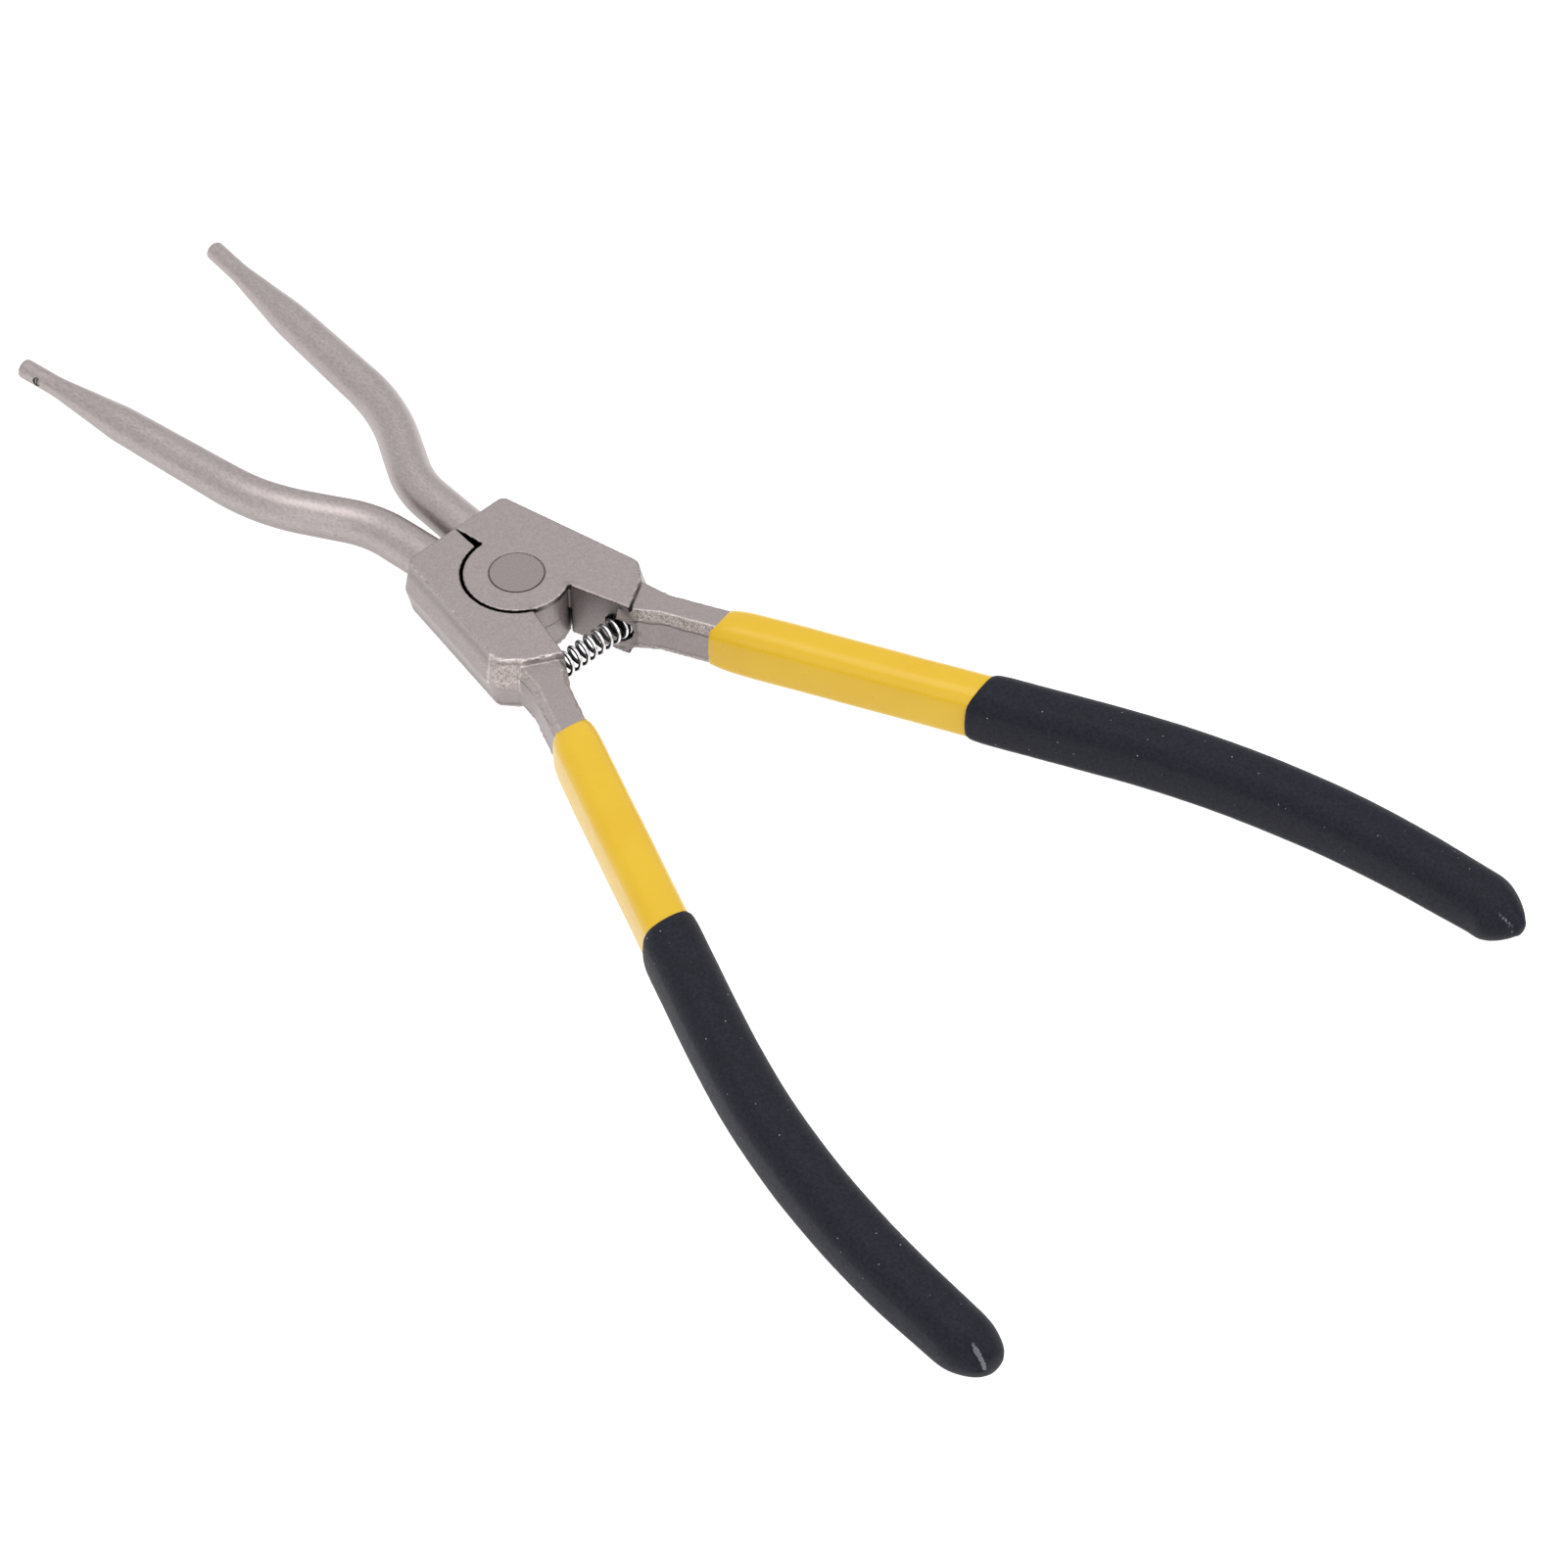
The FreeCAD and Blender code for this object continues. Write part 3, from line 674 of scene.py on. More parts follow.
satin_rod, shader = finish_named("satin_rod", Metallic=1.0)
linished = mottle(satin_rod, 0.35 * MM, detail=5.0, roughness=0.7, stretch=(0.4, 1, 1))
rod_tone = tinted(satin_rod, linished, (0.35, ROD_DEEP), (0.65, ROD_PALE))
# Painted shade: the rod's colour darkens towards its underside.
rise = add(satin_rod, "SeparateXYZ", {"Vector": place_on(satin_rod)}).outputs["Z"]
under = spread(satin_rod, rise, 0.8, 0.0, MID - 3.6 * MM, MID + 0.5 * MM)
into(shader, "Base Color", mixed(satin_rod, under, rod_tone, (*ROD_UNDERSIDE_SHADE, 1)))
into(shader, "Roughness", spread(satin_rod, linished, 0.32, 0.44))
scratched = mottle(satin_rod, 0.4 * MM, detail=4.0, stretch=(0.5, 1, 1))
scratches = relief(satin_rod, scratched, 0.018 * MM)
into(shader, "Normal", relief(satin_rod, mottle(satin_rod, 4 * MM), 0.02 * MM, scratches))

for side in SIDES:
    runs = rod_runs(side)
    profile = rod_profile(runs)
    skin = rolled(side + "_rod", len(profile), ROD_AROUND,
                  lambda ring, angle: placed_on(side, rod_point(side, runs, *profile[ring], angle)))
    rod = piece_of(side + "_bent_rod", skin, satin_rod)
    crossing, out = screw_line(side)
    drilled_to = crossing + out * DRILL_REACH
    cut_by(rod, round_bar("drill", SCREW_HOLE_RADIUS, crossing, drilled_to, satin_rod))
    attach(rod, side + "_half")
    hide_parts(side + "_jaw_rod")

# -----------------------------------------------------------------------------
# Tip screws
# A slotted grub screw of blackened steel in the side of each tip. It presses on the exchangeable
# point in the socket and sits a little below the surface.

SCREW_RADIUS = 0.75 * MM
SCREW_INNER = 1.1 * MM
SCREW_OUTER = 1.72 * MM
SCREW_RIM = 0.08 * MM
SLOT_WIDTH = 0.28 * MM
SLOT_DEPTH = 0.3 * MM

SCREW_DARK = (0.09, 0.085, 0.08)
SCREW_WORN = (0.32, 0.30, 0.28)

screw_steel, shader = finish_named("screw_steel", Metallic=1.0)
screw_tone = tinted(screw_steel, mottle(screw_steel, 0.4 * MM), (0.3, SCREW_DARK), (0.7, SCREW_WORN))
into(shader, "Base Color", screw_tone)
into(shader, "Roughness", spread(screw_steel, mottle(screw_steel, 0.2 * MM), 0.3, 0.5))

for side in SIDES:
    crossing, out = screw_line(side)
    screw = round_bar(side + "_grub_screw", SCREW_RADIUS, crossing + out * SCREW_INNER,
                      crossing + out * SCREW_OUTER, screw_steel)
    bm = bmesh.new()
    bm.from_mesh(screw.data)
    corners = {edge: {len(face.verts) for face in edge.link_faces} for edge in bm.edges}
    rims = [edge for edge, counts in corners.items() if len(counts) > 1]    # an end meets the side
    bmesh.ops.bevel(bm, geom=rims, offset=SCREW_RIM, offset_type="OFFSET", segments=2, profile=0.5,
                    affect="EDGES", material=-1, clamp_overlap=True)
    bm.to_mesh(screw.data)
    bm.free()
    slot_bar = bmesh.new()
    bmesh.ops.create_cube(slot_bar, size=1)
    turn = out.to_track_quat("Z", "Y").to_matrix().to_4x4()
    size = Matrix.Diagonal((SLOT_WIDTH, 3 * SCREW_RADIUS, 2 * SLOT_DEPTH, 1))
    place = Matrix.Translation(crossing + out * SCREW_OUTER)
    bmesh.ops.transform(slot_bar, matrix=place @ turn @ size, verts=slot_bar.verts)
    cut_by(screw, piece_of("slot", mesh_of("slot", slot_bar), screw_steel))
    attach(screw, side + "_half")
    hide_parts(side + "_tip_screw")

# -----------------------------------------------------------------------------
# Return spring
# A coil spring of bright zinc-plated wire between the two gap faces, its closed and ground ends
# sitting in drilled pockets. It pushes the handles apart, so the real one shortens when they are
# squeezed; this coil is built at one fixed length.

WIRE_RADIUS = 0.375 * MM
COIL_RADIUS = 2.4 * MM - WIRE_RADIUS
SPRING_HALF = POCKET_FLOOR - 0.35 * MM
OPEN_TURNS = 8.6
CLOSED_TURNS = 1.1
RINGS_PER_TURN = 26
WIRE_AROUND = 20


def coil_line():
    """Turn angle and place along the axis for each ring of the wire."""
    all_turns = OPEN_TURNS + 2 * CLOSED_TURNS
    turns = np.linspace(0, all_turns, int(RINGS_PER_TURN * all_turns))
    open_length = 2 * SPRING_HALF - 2 * CLOSED_TURNS * 2 * WIRE_RADIUS
    fast = open_length / OPEN_TURNS
    slow = 2.04 * WIRE_RADIUS
    from_end = np.minimum(turns, turns[-1] - turns)
    ease = np.clip((from_end - CLOSED_TURNS + 0.4) / 0.8, 0, 1)
    pitch = slow + (fast - slow) * ease * ease * (3 - 2 * ease)
    place = np.concatenate(([0], np.cumsum((pitch[1:] + pitch[:-1]) / 2 * np.diff(turns))))
    reach = SPRING_HALF - WIRE_RADIUS
    return turns * 2 * math.pi, (place / place[-1] * 2 - 1) * reach


def wire_point(ring, angle):
    turned, place = coil_angles[ring], coil_places[ring]
    ends = (0, len(coil_angles) - 1)
    radius = 0 if ring in ends else WIRE_RADIUS
    out = COIL_RADIUS + radius * math.cos(angle)
    y = min(max(place + radius * math.sin(angle), -SPRING_HALF), SPRING_HALF)
    return Vector((SPRING_X + out * math.cos(turned), y, MID + out * math.sin(turned)))


WIRE_ZINC = (0.55, 0.55, 0.57)
WIRE_BRIGHT = (0.80, 0.80, 0.82)
WIRE_SHADE = (0.03, 0.03, 0.033)

spring_wire, shader = finish_named("spring_wire", Metallic=1.0)
zinc = tinted(spring_wire, mottle(spring_wire, 0.8 * MM), (0.35, WIRE_ZINC), (0.6, WIRE_BRIGHT))
into(shader, "Base Color", mixed(spring_wire, marked(spring_wire, "wire_shade"), zinc, (*WIRE_SHADE, 1)))
into(shader, "Roughness", spread(spring_wire, mottle(spring_wire, 0.3 * MM, detail=3.0), 0.12, 0.2))
into(shader, "Normal", relief(spring_wire, mottle(spring_wire, 0.25 * MM, detail=3.0), 0.004 * MM))

coil_angles, coil_places = coil_line()
coil_angles = np.concatenate(([coil_angles[0]], coil_angles, [coil_angles[-1]]))
coil_places = np.concatenate(([coil_places[0]], coil_places, [coil_places[-1]]))
skin = rolled("coil", len(coil_angles), WIRE_AROUND, wire_point, sharp=60)
points = points_of(skin)
from_axis = np.hypot(points[:, 0] - SPRING_X, points[:, 2] - MID)
bright = COIL_RADIUS + 0.72 * WIRE_RADIUS       # painted shade on all but the outermost strip of the wire
mark(skin, "wire_shade", np.clip((bright - from_axis) / (0.4 * WIRE_RADIUS), 0, 1))
coil = piece_of("coil_spring", skin, spring_wire)
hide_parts("return_spring")
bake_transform(coil)

# -----------------------------------------------------------------------------
# Pivot rivet
# A solid steel rivet, closed hot and ground flush with both faces of the head. A fine dark line
# shows where its head meets the countersink.

RIVET_SHANK = 4.0 * MM
RIVET_HEAD_DEPTH = 1.1 * MM
RIVET_BREAK = 0.11 * MM                 # the broken edge round each end
RIVET_DEEP = (0.228, 0.198, 0.194)
RIVET_PALE = (0.296, 0.257, 0.252)

rivet_steel, shader = finish_named("rivet_steel", Metallic=1.0)
place = place_on(rivet_steel)
flat_place = add(rivet_steel, "VectorMath", {0: place, 1: (1, 1, 0)}, operation="MULTIPLY")
from_axis = add(rivet_steel, "VectorMath", {0: flat_place.outputs["Vector"]}, operation="LENGTH")
edge = spread(rivet_steel, from_axis.outputs["Value"], 0, 1, RIVET_RADIUS - 0.2 * MM,
              RIVET_RADIUS - 0.08 * MM)
rivet_speckle = mottle(rivet_steel, 0.3 * MM, detail=4.0, roughness=0.7)
face_tone = tinted(rivet_steel, rivet_speckle, (0.35, RIVET_DEEP), (0.65, RIVET_PALE))
into(shader, "Base Color", mixed(rivet_steel, edge, face_tone, (*GRIME_AND_SHADE, 1)))
into(shader, "Roughness", spread(rivet_steel, mottle(rivet_steel, 2 * MM, detail=4.0), 0.40, 0.46))
pits = add(rivet_steel, "TexVoronoi", {"Vector": place, "Scale": 1 / (0.55 * MM)})
pit = spread(rivet_steel, pits.outputs["Distance"], 0, 1, 0.05, 0.35)
patchy = spread(rivet_steel, mottle(rivet_steel, 2.2 * MM), 0, 1, 0.52, 0.66)
kept_pits = combined(rivet_steel, "MAXIMUM", pit, combined(rivet_steel, "SUBTRACT", 1.0, patchy))
into(shader, "Normal", relief(rivet_steel, kept_pits, 0.03 * MM))

bm = bmesh.new()
outline = [(0, HEAD_TOP), (RIVET_RADIUS - RIVET_BREAK, HEAD_TOP),
           (RIVET_RADIUS, HEAD_TOP - RIVET_BREAK), (RIVET_SHANK, HEAD_TOP - RIVET_HEAD_DEPTH)]
outline += [(radius, -height) for radius, height in reversed(outline)]
chain = [bm.verts.new((radius, 0, MID + height)) for radius, height in outline]
sides = [bm.edges.new(pair) for pair in zip(chain, chain[1:])]
bmesh.ops.spin(bm, geom=chain + sides, cent=(0, 0, 0), axis=(0, 0, 1), angle=2 * math.pi,
               steps=96, use_merge=True)
bmesh.ops.remove_doubles(bm, verts=bm.verts, dist=WELD_DISTANCE)
bmesh.ops.recalc_face_normals(bm, faces=bm.faces)
rivet = piece_of("flush_rivet", smoothed(mesh_of("rivet", bm), 30), rivet_steel)
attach(rivet, "right_half")
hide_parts("pivot_rivet")

# -----------------------------------------------------------------------------
# Yellow sleeves
# The tangs are dipped in glossy yellow vinyl plastisol from the end to near the head. The coat
# shrinks on without fixings, thins to a rounded lip, and shows the tang's edges softly.

HANDLE_STRAIGHT = 92.7 * MM
HANDLE_BEND = 190.0 * MM
TAIL_SPLAY = math.radians(5.0)
TAIL_LENGTH = 19.4 * MM
HANDLE_TURN = HANDLE_SPLAY - TAIL_SPLAY
HANDLE_RUNS = [(HANDLE_STRAIGHT, 0), (HANDLE_BEND * HANDLE_TURN, HANDLE_TURN), (TAIL_LENGTH, 0)]
HANDLE_LENGTH = sum(run for run, turn in HANDLE_RUNS)
TANG_END = HANDLE_LENGTH - 15.5 * MM
DIP_TILT = math.radians(10.0)           # of a dip's edge, from square across the tool
DIP_SKEW = math.tan(HANDLE_SPLAY - DIP_TILT)
SKEW_FADE = 14.0 * MM
LIP_LEAD = 0.7 * MM                     # a dip's edge runs further along the narrow sides
LIP_ROUND = 0.85 * MM
LIP_RINGS = (0.12 * MM, 0.3 * MM, 0.55 * MM, LIP_ROUND)
DIP_AROUND = 96
DIP_STEP = 0.9 * MM
SECTION_CROWN = 0.3                     # share of each quarter given to the flats

PLAIN_NOSE = (1.5 * MM, 0.8, 0, 0)      # tip radius, fullness, and drift and bulge inwards
SLEEVE = {
    "start": 17.3 * MM / math.cos(HANDLE_SPLAY), "end": HANDLE_LENGTH - 2.5 * MM,
    "width": 4.55 * MM, "height": 5.9 * MM, "corner": 3.5 * MM, "nose": 5.45 * MM,
    "lip": 0.7 * MM, "coat": 1.25 * MM, "grows_over": 6.0 * MM,
    "drop": {"left": PLAIN_NOSE, "right": PLAIN_NOSE},
}
NOSE_LENGTH = 9.0 * MM
CAP_LENGTH = 0.7 * MM
CAP_FULLNESS = 1.12                     # the rounded cap's radius, in tip radii
NECK_LENGTH = 30.0 * MM
NECK_RADIUS = 6.45 * MM


def section(angle, half_width, half_height, corner):
    """A point round a rounded section, as its offset outwards and its height."""
    across, up = math.cos(angle), math.sin(angle)
    crown = [max(-1.0, min(1.0, share / SECTION_CROWN)) for share in (across, up)]
    return ((half_width - corner) * crown[0] + corner * across,
            (half_height - corner) * crown[1] + corner * up)


def nose_radius(from_end, full, tip, shape):
    """Radius of the round envelope of a handle's end."""
    cap = tip * CAP_FULLNESS
    if from_end < CAP_LENGTH:
        return cap * math.sqrt(max(0.0, 1 - (1 - from_end / CAP_LENGTH) ** 2))
    if from_end < NOSE_LENGTH:
        share = (from_end - CAP_LENGTH) / (NOSE_LENGTH - CAP_LENGTH)
        return cap + (full - cap) * math.sin(share * math.pi / 2) ** shape
    return full + (NECK_RADIUS - full) * (from_end - NOSE_LENGTH) / (NECK_LENGTH - NOSE_LENGTH)


def handle_at(distance):
    """Point and heading of the left handle's centre line, from its root."""
    return walk(HANDLE_ROOT, math.pi - HANDLE_SPLAY, HANDLE_RUNS, distance)


def softly_less(a, b):
    """The smaller of two lengths, eased where they cross."""
    if min(a, b) <= 0:
        return 0.0
    return (a ** -14 + b ** -14) ** (-1 / 14)


def dip_rings(dip, inner_end):
    """Rings of a dipped coat: (distance, share of the outer skin), inside first, then outside."""
    inside = [inner_end, inner_end] + list(np.arange(inner_end - 4 * MM, dip["start"], -4 * MM))
    rings = [(distance, None) for distance in inside] + [(dip["start"] + 0.02 * MM, None)]
    rings += [(dip["start"], share) for share in (0.0, 0.35, 0.7)]
    rings += [(dip["start"] + offset, 1.0) for offset in LIP_RINGS]
    body = np.arange(dip["start"] + 1.3 * MM, dip["end"] - 3.0 * MM, DIP_STEP)
    rings += [(distance, 1.0) for distance in body]
    for step in range(14):
        rings.append((dip["end"] - 2.8 * MM * (1 - step / 13) ** 2, 1.0))
    return rings


def dip_point(side, dip, under, ring, angle, extra):
    """A point of a coat, from the size of what it covers and the thickness that has run on it."""
    distance, share = ring
    half_width, half_height, corner = under(distance)
    full_width, full_height = dip["width"], dip["height"]
    from_end = dip["end"] - distance
    tip, shape, drift, bulge = dip["drop"][side]
    since_lip = max(0.0, distance - dip["start"])
    if share is not None:
        lip_round = math.sqrt(max(0.0, 1 - (1 - min(1.0, since_lip / LIP_ROUND)) ** 2))
        grown = 1 - math.exp(-3 * since_lip / dip["grows_over"])
        lip = dip["lip"] * (0.45 * share + 0.55 * lip_round) / dip["coat"]
        build = lip + (1 - dip["lip"] / dip["coat"]) * grown * lip_round
        half_width += (full_width - half_width) * build
        half_height += (full_height - half_height) * build
        corner += (dip["corner"] - corner) * min(1.0, 0.45 + build)
        limit = nose_radius(from_end, dip["nose"], tip, shape)
        half_width, half_height = softly_less(half_width, limit), softly_less(half_height, limit)
        corner = min(corner, half_width, half_height)
        corner += (min(half_width, half_height) - corner) * max(0.0, 1 - from_end / NOSE_LENGTH)
    across, up = section(angle, half_width, half_height, corner)
    if share is not None:
        near_end = max(0.0, 1 - from_end / NOSE_LENGTH)
        across -= drift * near_end ** 2
        across -= bulge * math.sin(near_end * math.pi) ** 1.5 * max(0.0, -math.cos(angle))
    skew = DIP_SKEW * max(0.0, 1 - since_lip / SKEW_FADE)
    lead = LIP_LEAD * math.cos(angle) ** 2 * max(0.0, 1 - since_lip / SKEW_FADE)
    station = distance + across * skew - lead
    point, turned = handle_at(station)
    outward = heading(turned - math.pi / 2)
    spot = point + outward * across + Vector((0, 0, up))
    if share:
        swell = extra(side, spot, distance, across, up) * min(1.0, since_lip / MM)
        out = outward * across + Vector((0, 0, up))
        spot += out.normalized() * swell if out.length > 0.01 * MM else Vector()
    return placed_on(side, spot)


def dip_skin(name, side, dip, under, inner_end, extra):
    """The closed skin of a coat, wrapped over what lies under it."""
    rings = dip_rings(dip, inner_end)

    def coat_point(ring, angle):
        if ring == 0:
            return placed_on(side, handle_at(inner_end)[0])
        return dip_point(side, dip, under, rings[ring], angle, extra)

    return rolled(side + name, len(rings), DIP_AROUND, coat_point, sharp=75)


def tang_section(distance):
    return TANG_HALF_WIDTH, TANG_HALF_HEIGHT, TANG_CORNER


TANG_TELLTALE = 0.015 * MM
TANG_EDGE_OUT = 2.0 * MM
SLEEVE_UNEVEN = 0.07 * MM


def sleeve_relief(side, spot, distance, across, up):
    """The tang's edges showing through, and the slow unevenness of a dipped coat."""
    on_top = max(0.0, abs(up) / SLEEVE["height"] - 0.8) * 5
    edges = math.exp(-((abs(across) - TANG_EDGE_OUT) / (0.8 * MM)) ** 2)
    slow = noise.noise(spot / (9 * MM) + Vector((0, 3 * SIDES[side], 0)))
    return TANG_TELLTALE * edges * on_top + SLEEVE_UNEVEN * (slow - 0.8) - TANG_TELLTALE


YELLOW = (0.545, 0.345, 0.006)
YELLOW_DEEP = (0.53, 0.325, 0.005)

yellow_dip, shader = finish_named("yellow_dip", IOR=1.45, Coat_Weight=0.15, Coat_Roughness=0.15,
                                  Specular_IOR_Level=0.4)
yellow_tone = tinted(yellow_dip, mottle(yellow_dip, 12 * MM), (0.3, YELLOW_DEEP), (0.7, YELLOW))
into(shader, "Base Color", yellow_tone)
into(shader, "Roughness", spread(yellow_dip, mottle(yellow_dip, 3 * MM, detail=3.0), 0.26, 0.36))
peel = relief(yellow_dip, mottle(yellow_dip, 0.7 * MM, detail=1.0), 0.004 * MM)
into(shader, "Normal", relief(yellow_dip, mottle(yellow_dip, 6 * MM), 0.035 * MM, peel))

for side in SIDES:
    skin = dip_skin("_sleeve", side, SLEEVE, tang_section, TANG_END, sleeve_relief)
    sleeve = piece_of(side + "_sleeve_dip", skin, yellow_dip)
    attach(sleeve, side + "_half")
    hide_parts(side + "_yellow_sleeve")

# -----------------------------------------------------------------------------
# Black grips
# A second, thicker dip of matt black foamed vinyl over the rear of the yellow one. It has a fine
# pebbled skin with a few burst bubbles painted as light glints, and a pinched crease where the last
# drop ran off the end, with a painted highlight along its torn ridge.

GRIP = {
    "start": 62.7 * MM / math.cos(HANDLE_SPLAY), "end": HANDLE_LENGTH - 0.08 * MM,
    "width": 5.45 * MM, "height": 6.5 * MM, "corner": 4.7 * MM, "nose": 5.75 * MM,
    "lip": 0.55 * MM, "coat": 0.9 * MM, "grows_over": 3.0 * MM,
    "drop": {
        "left": (2.4 * MM, 0.68, 0.75 * MM, 0.15 * MM),
        "right": (1.5 * MM, 0.80, 0.75 * MM, 0.95 * MM),
    },
}
GRIP_UNEVEN = 0.08 * MM
PEBBLE = 0.025 * MM
CREASE = {                              # from and to, as (distance from the end, offset outwards)
    "left": ((4.4 * MM, 2.1 * MM), (0.2 * MM, 1.5 * MM)),
    "right": ((5.2 * MM, 0.4 * MM), (0.3 * MM, -0.8 * MM)),
}
STREAK = {                              # the shiny torn ridge, or row of flecks, beside it
    "left": ((4.5 * MM, 1.3 * MM), (-1.3 * MM, 1.2 * MM)),
    "right": ((5.4 * MM, -3.5 * MM), (0.2 * MM, -2.3 * MM)),
}
CREASE_DEPTH = {"left": 0.9 * MM, "right": 0.45 * MM}
CREASE_WIDTH = 0.7 * MM
RIDGE_HEIGHT = {"left": 0.32 * MM, "right": 0.05 * MM}
RIDGE_WIDTH = {"left": 0.42 * MM, "right": 0.5 * MM}
STREAK_SHINE = {"left": 0.98, "right": 0.8}


def beside_line(line, side, distance, across, up):
    """Signed distance from a line on the upper face near the end, and how much of it is here."""
    (far_end, far_out), (near_end, near_out) = line[side]
    from_end = HANDLE_LENGTH - distance
    share = (far_end - from_end) / (far_end - near_end)
    fade = max(0.0, min(1.0, 1.55 - abs(share - 0.5) * 2.3))
    upper = up * SIDES[side] > 0
    return across - (far_out + (near_out - far_out) * share), fade * upper


def grip_relief(side, spot, distance, across, up):
    """Slow unevenness, the pebbled skin and the pinched crease at the end."""
    slow = noise.noise(spot / (11 * MM) + Vector((0, 0, 5 * SIDES[side])))
    pebble = noise.noise(spot / (0.9 * MM))
    torn = 0.22 * MM * noise.noise(spot / (0.7 * MM))
    off_crease, crease_here = beside_line(CREASE, side, distance, across, up)
    off_streak, streak_here = beside_line(STREAK, side, distance, across, up)
    valley = math.exp(-((off_crease + torn) / CREASE_WIDTH) ** 2) * crease_here
    ridge = math.exp(-((off_streak + torn) / RIDGE_WIDTH[side]) ** 2) * streak_here
    pinch = RIDGE_HEIGHT[side] * ridge - CREASE_DEPTH[side] * valley
    return GRIP_UNEVEN * (slow - 0.8) + PEBBLE * (pebble - 1) + pinch


def streak_gloss(mesh, side):
    """How shiny each point is, beside the torn streak at the end."""
    own = own_side(points_of(mesh), side)
    end_point, end_angle = handle_at(HANDLE_LENGTH)
    from_end = (np.array(end_point) - own) @ np.array(heading(end_angle))
    offset = (own - np.array(end_point)) @ np.array(heading(end_angle - math.pi / 2))
    gloss = np.zeros(len(own))
    for index, (behind, across, up) in enumerate(zip(from_end, offset, own[:, 2])):
        off_line, here = beside_line(STREAK, side, HANDLE_LENGTH - behind, across, up)
        narrow = math.exp(-(off_line / (1.3 * RIDGE_WIDTH[side])) ** 2)
        gloss[index] = here * STREAK_SHINE[side] * narrow
    return gloss


def sleeve_section(distance):
    width, height, corner = (SLEEVE[key] for key in ("width", "height", "corner"))
    limit = nose_radius(max(0.0, SLEEVE["end"] - distance), SLEEVE["nose"], *PLAIN_NOSE[:2])
    width, height = softly_less(width, limit), softly_less(height, limit)
    return width, height, min(corner, width, height)


BLACK = (0.0042, 0.0044, 0.0082)
BLACK_PALE = (0.0112, 0.0115, 0.0198)
PAINTED_GLINT = (0.30, 0.30, 0.33)

black_dip, shader = finish_named("black_dip", IOR=1.45, Specular_IOR_Level=0.17)
skin_tone = tinted(black_dip, mottle(black_dip, 0.6 * MM, detail=4.0, roughness=0.7), (0.35, BLACK),
                   (0.65, BLACK_PALE))
bubbles = add(black_dip, "TexVoronoi", {"Vector": place_on(black_dip), "Scale": 1 / (1.5 * MM)})
bubble = spread(black_dip, bubbles.outputs["Distance"], 1, 0, 0.04, 0.10)
lot = add(black_dip, "SeparateColor", {"Color": bubbles.outputs["Color"]}).outputs["Red"]
bubble_glint = combined(black_dip, "MULTIPLY", bubble, spread(black_dip, lot, 0, 1, 0.80, 0.88))
ragged = mottle(black_dip, 0.4 * MM, detail=4.0, roughness=0.7)
torn_gloss = combined(black_dip, "ADD", marked(black_dip, "gloss"), ragged)
streak_shine_and_highlight = spread(black_dip, torn_gloss, 0, 1, 1.2, 1.36)
# Painted glints on the burst bubbles and a painted highlight along the torn streak, mixed into the
# colour.
bright = combined(black_dip, "MAXIMUM", bubble_glint, combined(black_dip, "MULTIPLY", streak_shine_and_highlight, 0.42))
into(shader, "Base Color", mixed(black_dip, bright, skin_tone, (*PAINTED_GLINT, 1)))
matt = spread(black_dip, mottle(black_dip, 0.5 * MM, detail=4.0), 0.5, 0.64)
shine = combined(black_dip, "MULTIPLY", streak_shine_and_highlight, 0.3)
into(shader, "Roughness", combined(black_dip, "SUBTRACT", matt, shine))
pebbles = relief(black_dip, mottle(black_dip, 0.45 * MM, detail=5.0, roughness=0.6), 0.05 * MM)
into(shader, "Normal", relief(black_dip, mottle(black_dip, 2.5 * MM), 0.05 * MM, pebbles))

for side in SIDES:
    skin = dip_skin("_grip", side, GRIP, sleeve_section, SLEEVE["end"], grip_relief)
    mark(skin, "gloss", streak_gloss(skin, side))
    grip = piece_of(side + "_grip_dip", skin, black_dip)
    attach(grip, side + "_half")
    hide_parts(side + "_black_grip")

# -----------------------------------------------------------------------------
# Studio
# A white table lit softly from below, one large soft light overhead with two soft fills, and the
# camera.

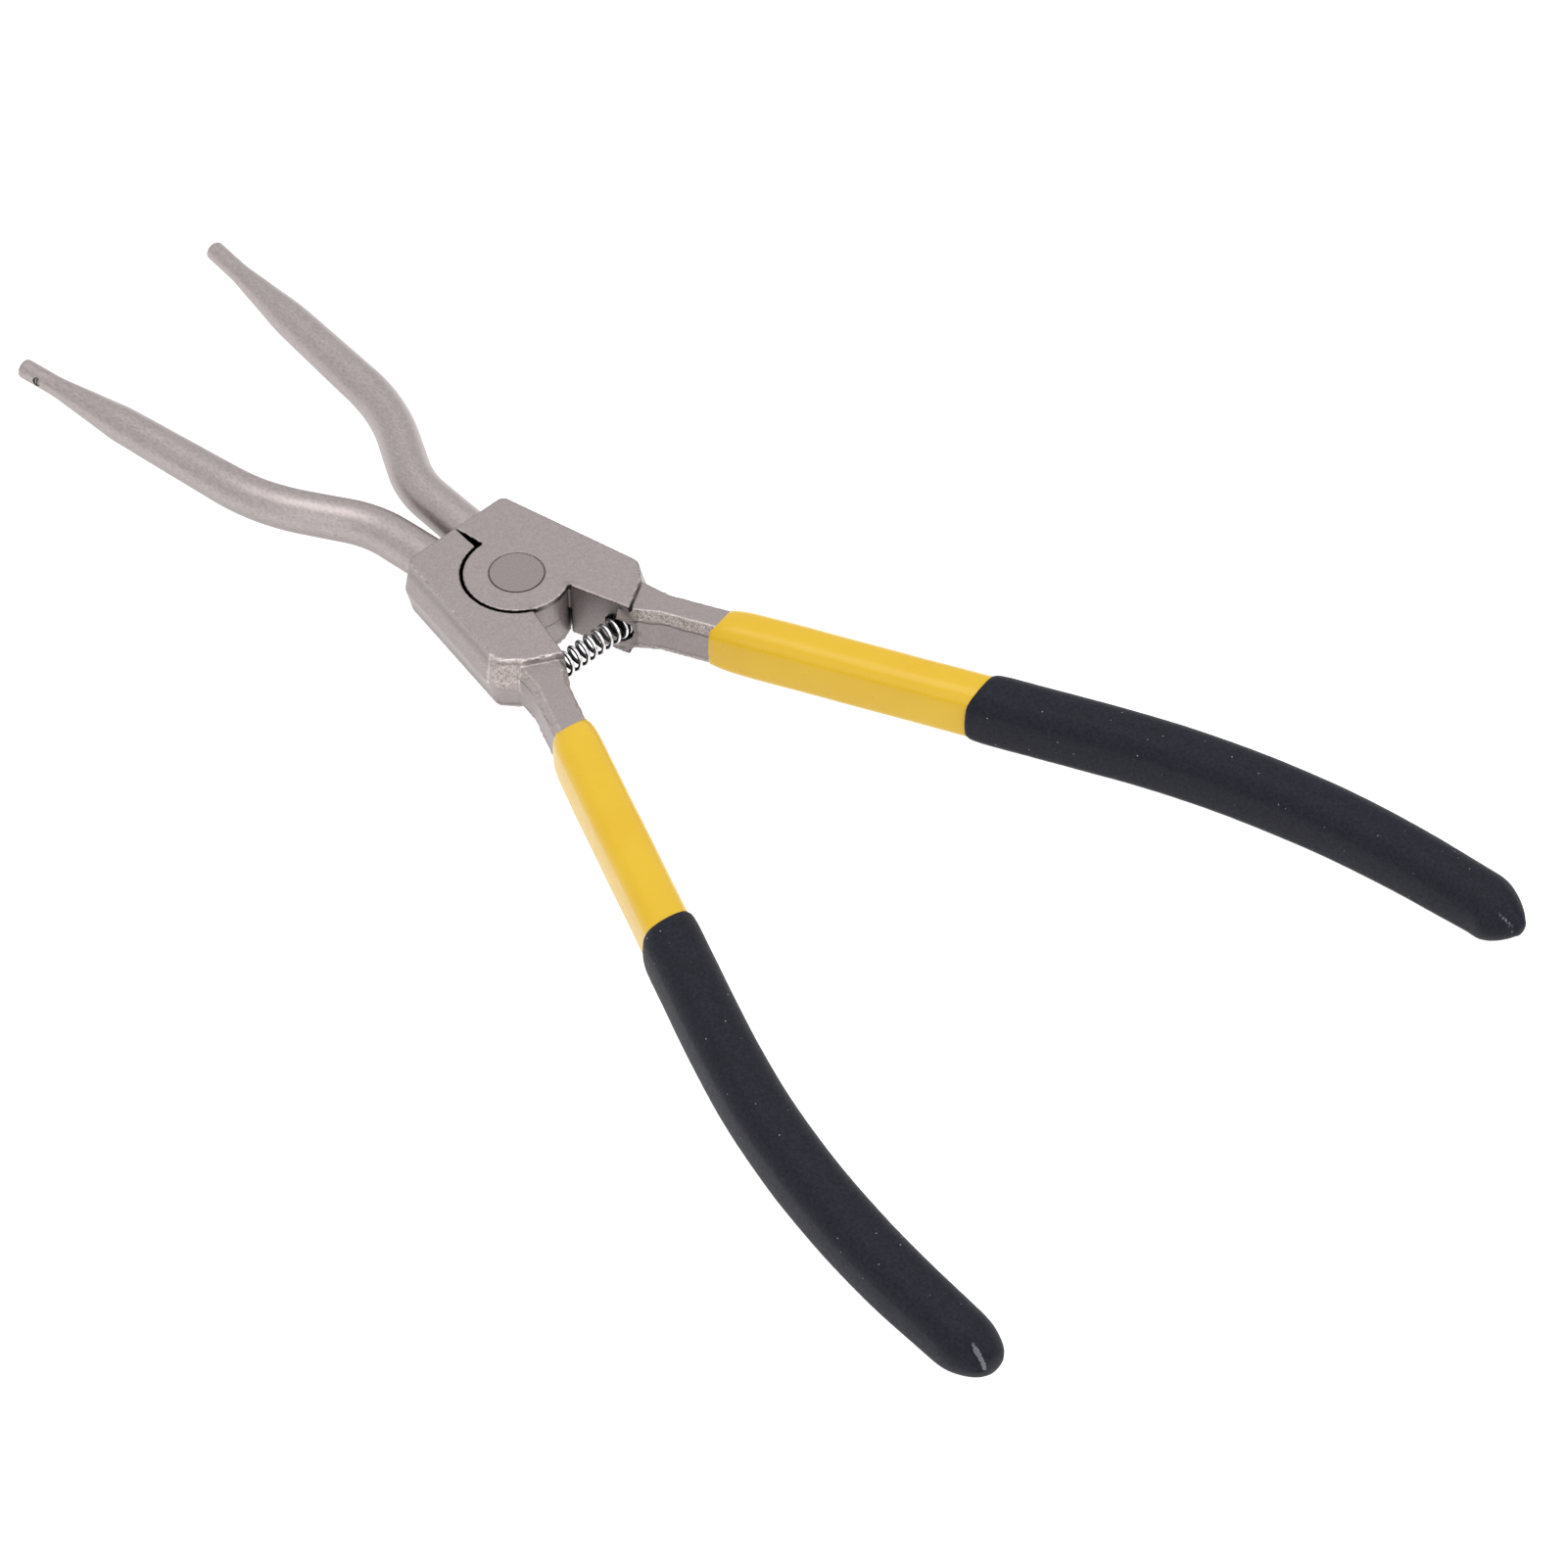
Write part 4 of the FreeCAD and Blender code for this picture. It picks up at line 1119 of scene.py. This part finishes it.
FLOOR_SIZE = 8.0
FLOOR_TONE = (0.35, 0.35, 0.35)
FLOOR_PALE = (0.37, 0.37, 0.37)
FLOOR_GAP = 0.02 * MM
CAMERA_AIM = Vector((-67.62, -0.93, 5.86)) * MM
CAMERA_DISTANCE = 0.9801
CAMERA_AZIMUTH = math.radians(224.87)
CAMERA_ELEVATION = math.radians(46.72)
CAMERA_LENS = 127.31
WORLD_LIGHT = 1.05
TABLE_GLOW = 0.92
LAMPS = {                               # place, size and power; all point at the tool
    "overhead_softbox": ((-0.05, 0.0, 1.3), 1.2, 8.8),
    "left_fill": ((-0.9, -0.5, 0.7), 0.8, 1.6),
    "front_fill": ((-0.5, 1.0, 0.6), 0.8, 1.6),
}

white_table, shader = finish_named("white_table", Roughness=0.9, Emission_Color=(1, 1, 1, 1),
                                   Emission_Strength=TABLE_GLOW)
floor_tone = tinted(white_table, mottle(white_table, 0.5), (0.3, FLOOR_TONE), (0.7, FLOOR_PALE))
into(shader, "Base Color", floor_tone)
bm = bmesh.new()
bmesh.ops.create_grid(bm, x_segments=1, y_segments=1, size=FLOOR_SIZE / 2)
table = piece_of("table", mesh_of("table", bm), white_table)
table.location.z = cad_low.z - FLOOR_GAP

world = bpy.data.worlds.new("studio")
world.use_nodes = True
sky = world.node_tree.nodes["Background"]
sky.inputs["Color"].default_value = (1, 1, 1, 1)
sky.inputs["Strength"].default_value = WORLD_LIGHT
bpy.context.scene.world = world
bpy.context.scene.view_settings.view_transform = "Standard"

for name, (spot, size, power) in LAMPS.items():
    lamp_data = bpy.data.lights.new(name, "AREA")
    lamp_data.size, lamp_data.energy = size, power
    lamp = bpy.data.objects.new(name, lamp_data)
    bpy.context.scene.collection.objects.link(lamp)
    lamp.location = spot
    lamp.rotation_euler = (CAMERA_AIM - Vector(spot)).to_track_quat("-Z", "Y").to_euler()
    lamp.visible_camera = False

back = Vector((math.sin(CAMERA_AZIMUTH) * math.cos(CAMERA_ELEVATION),
               -math.cos(CAMERA_AZIMUTH) * math.cos(CAMERA_ELEVATION), math.sin(CAMERA_ELEVATION)))
camera_data = bpy.data.cameras.new("camera")
camera_data.lens, camera_data.sensor_width, camera_data.clip_end = CAMERA_LENS, 36.0, 20.0
camera = bpy.data.objects.new("camera", camera_data)
bpy.context.scene.collection.objects.link(camera)
camera.location = CAMERA_AIM + back * CAMERA_DISTANCE
camera.rotation_euler = (-back).to_track_quat("-Z", "Y").to_euler()
bpy.context.scene.camera = camera
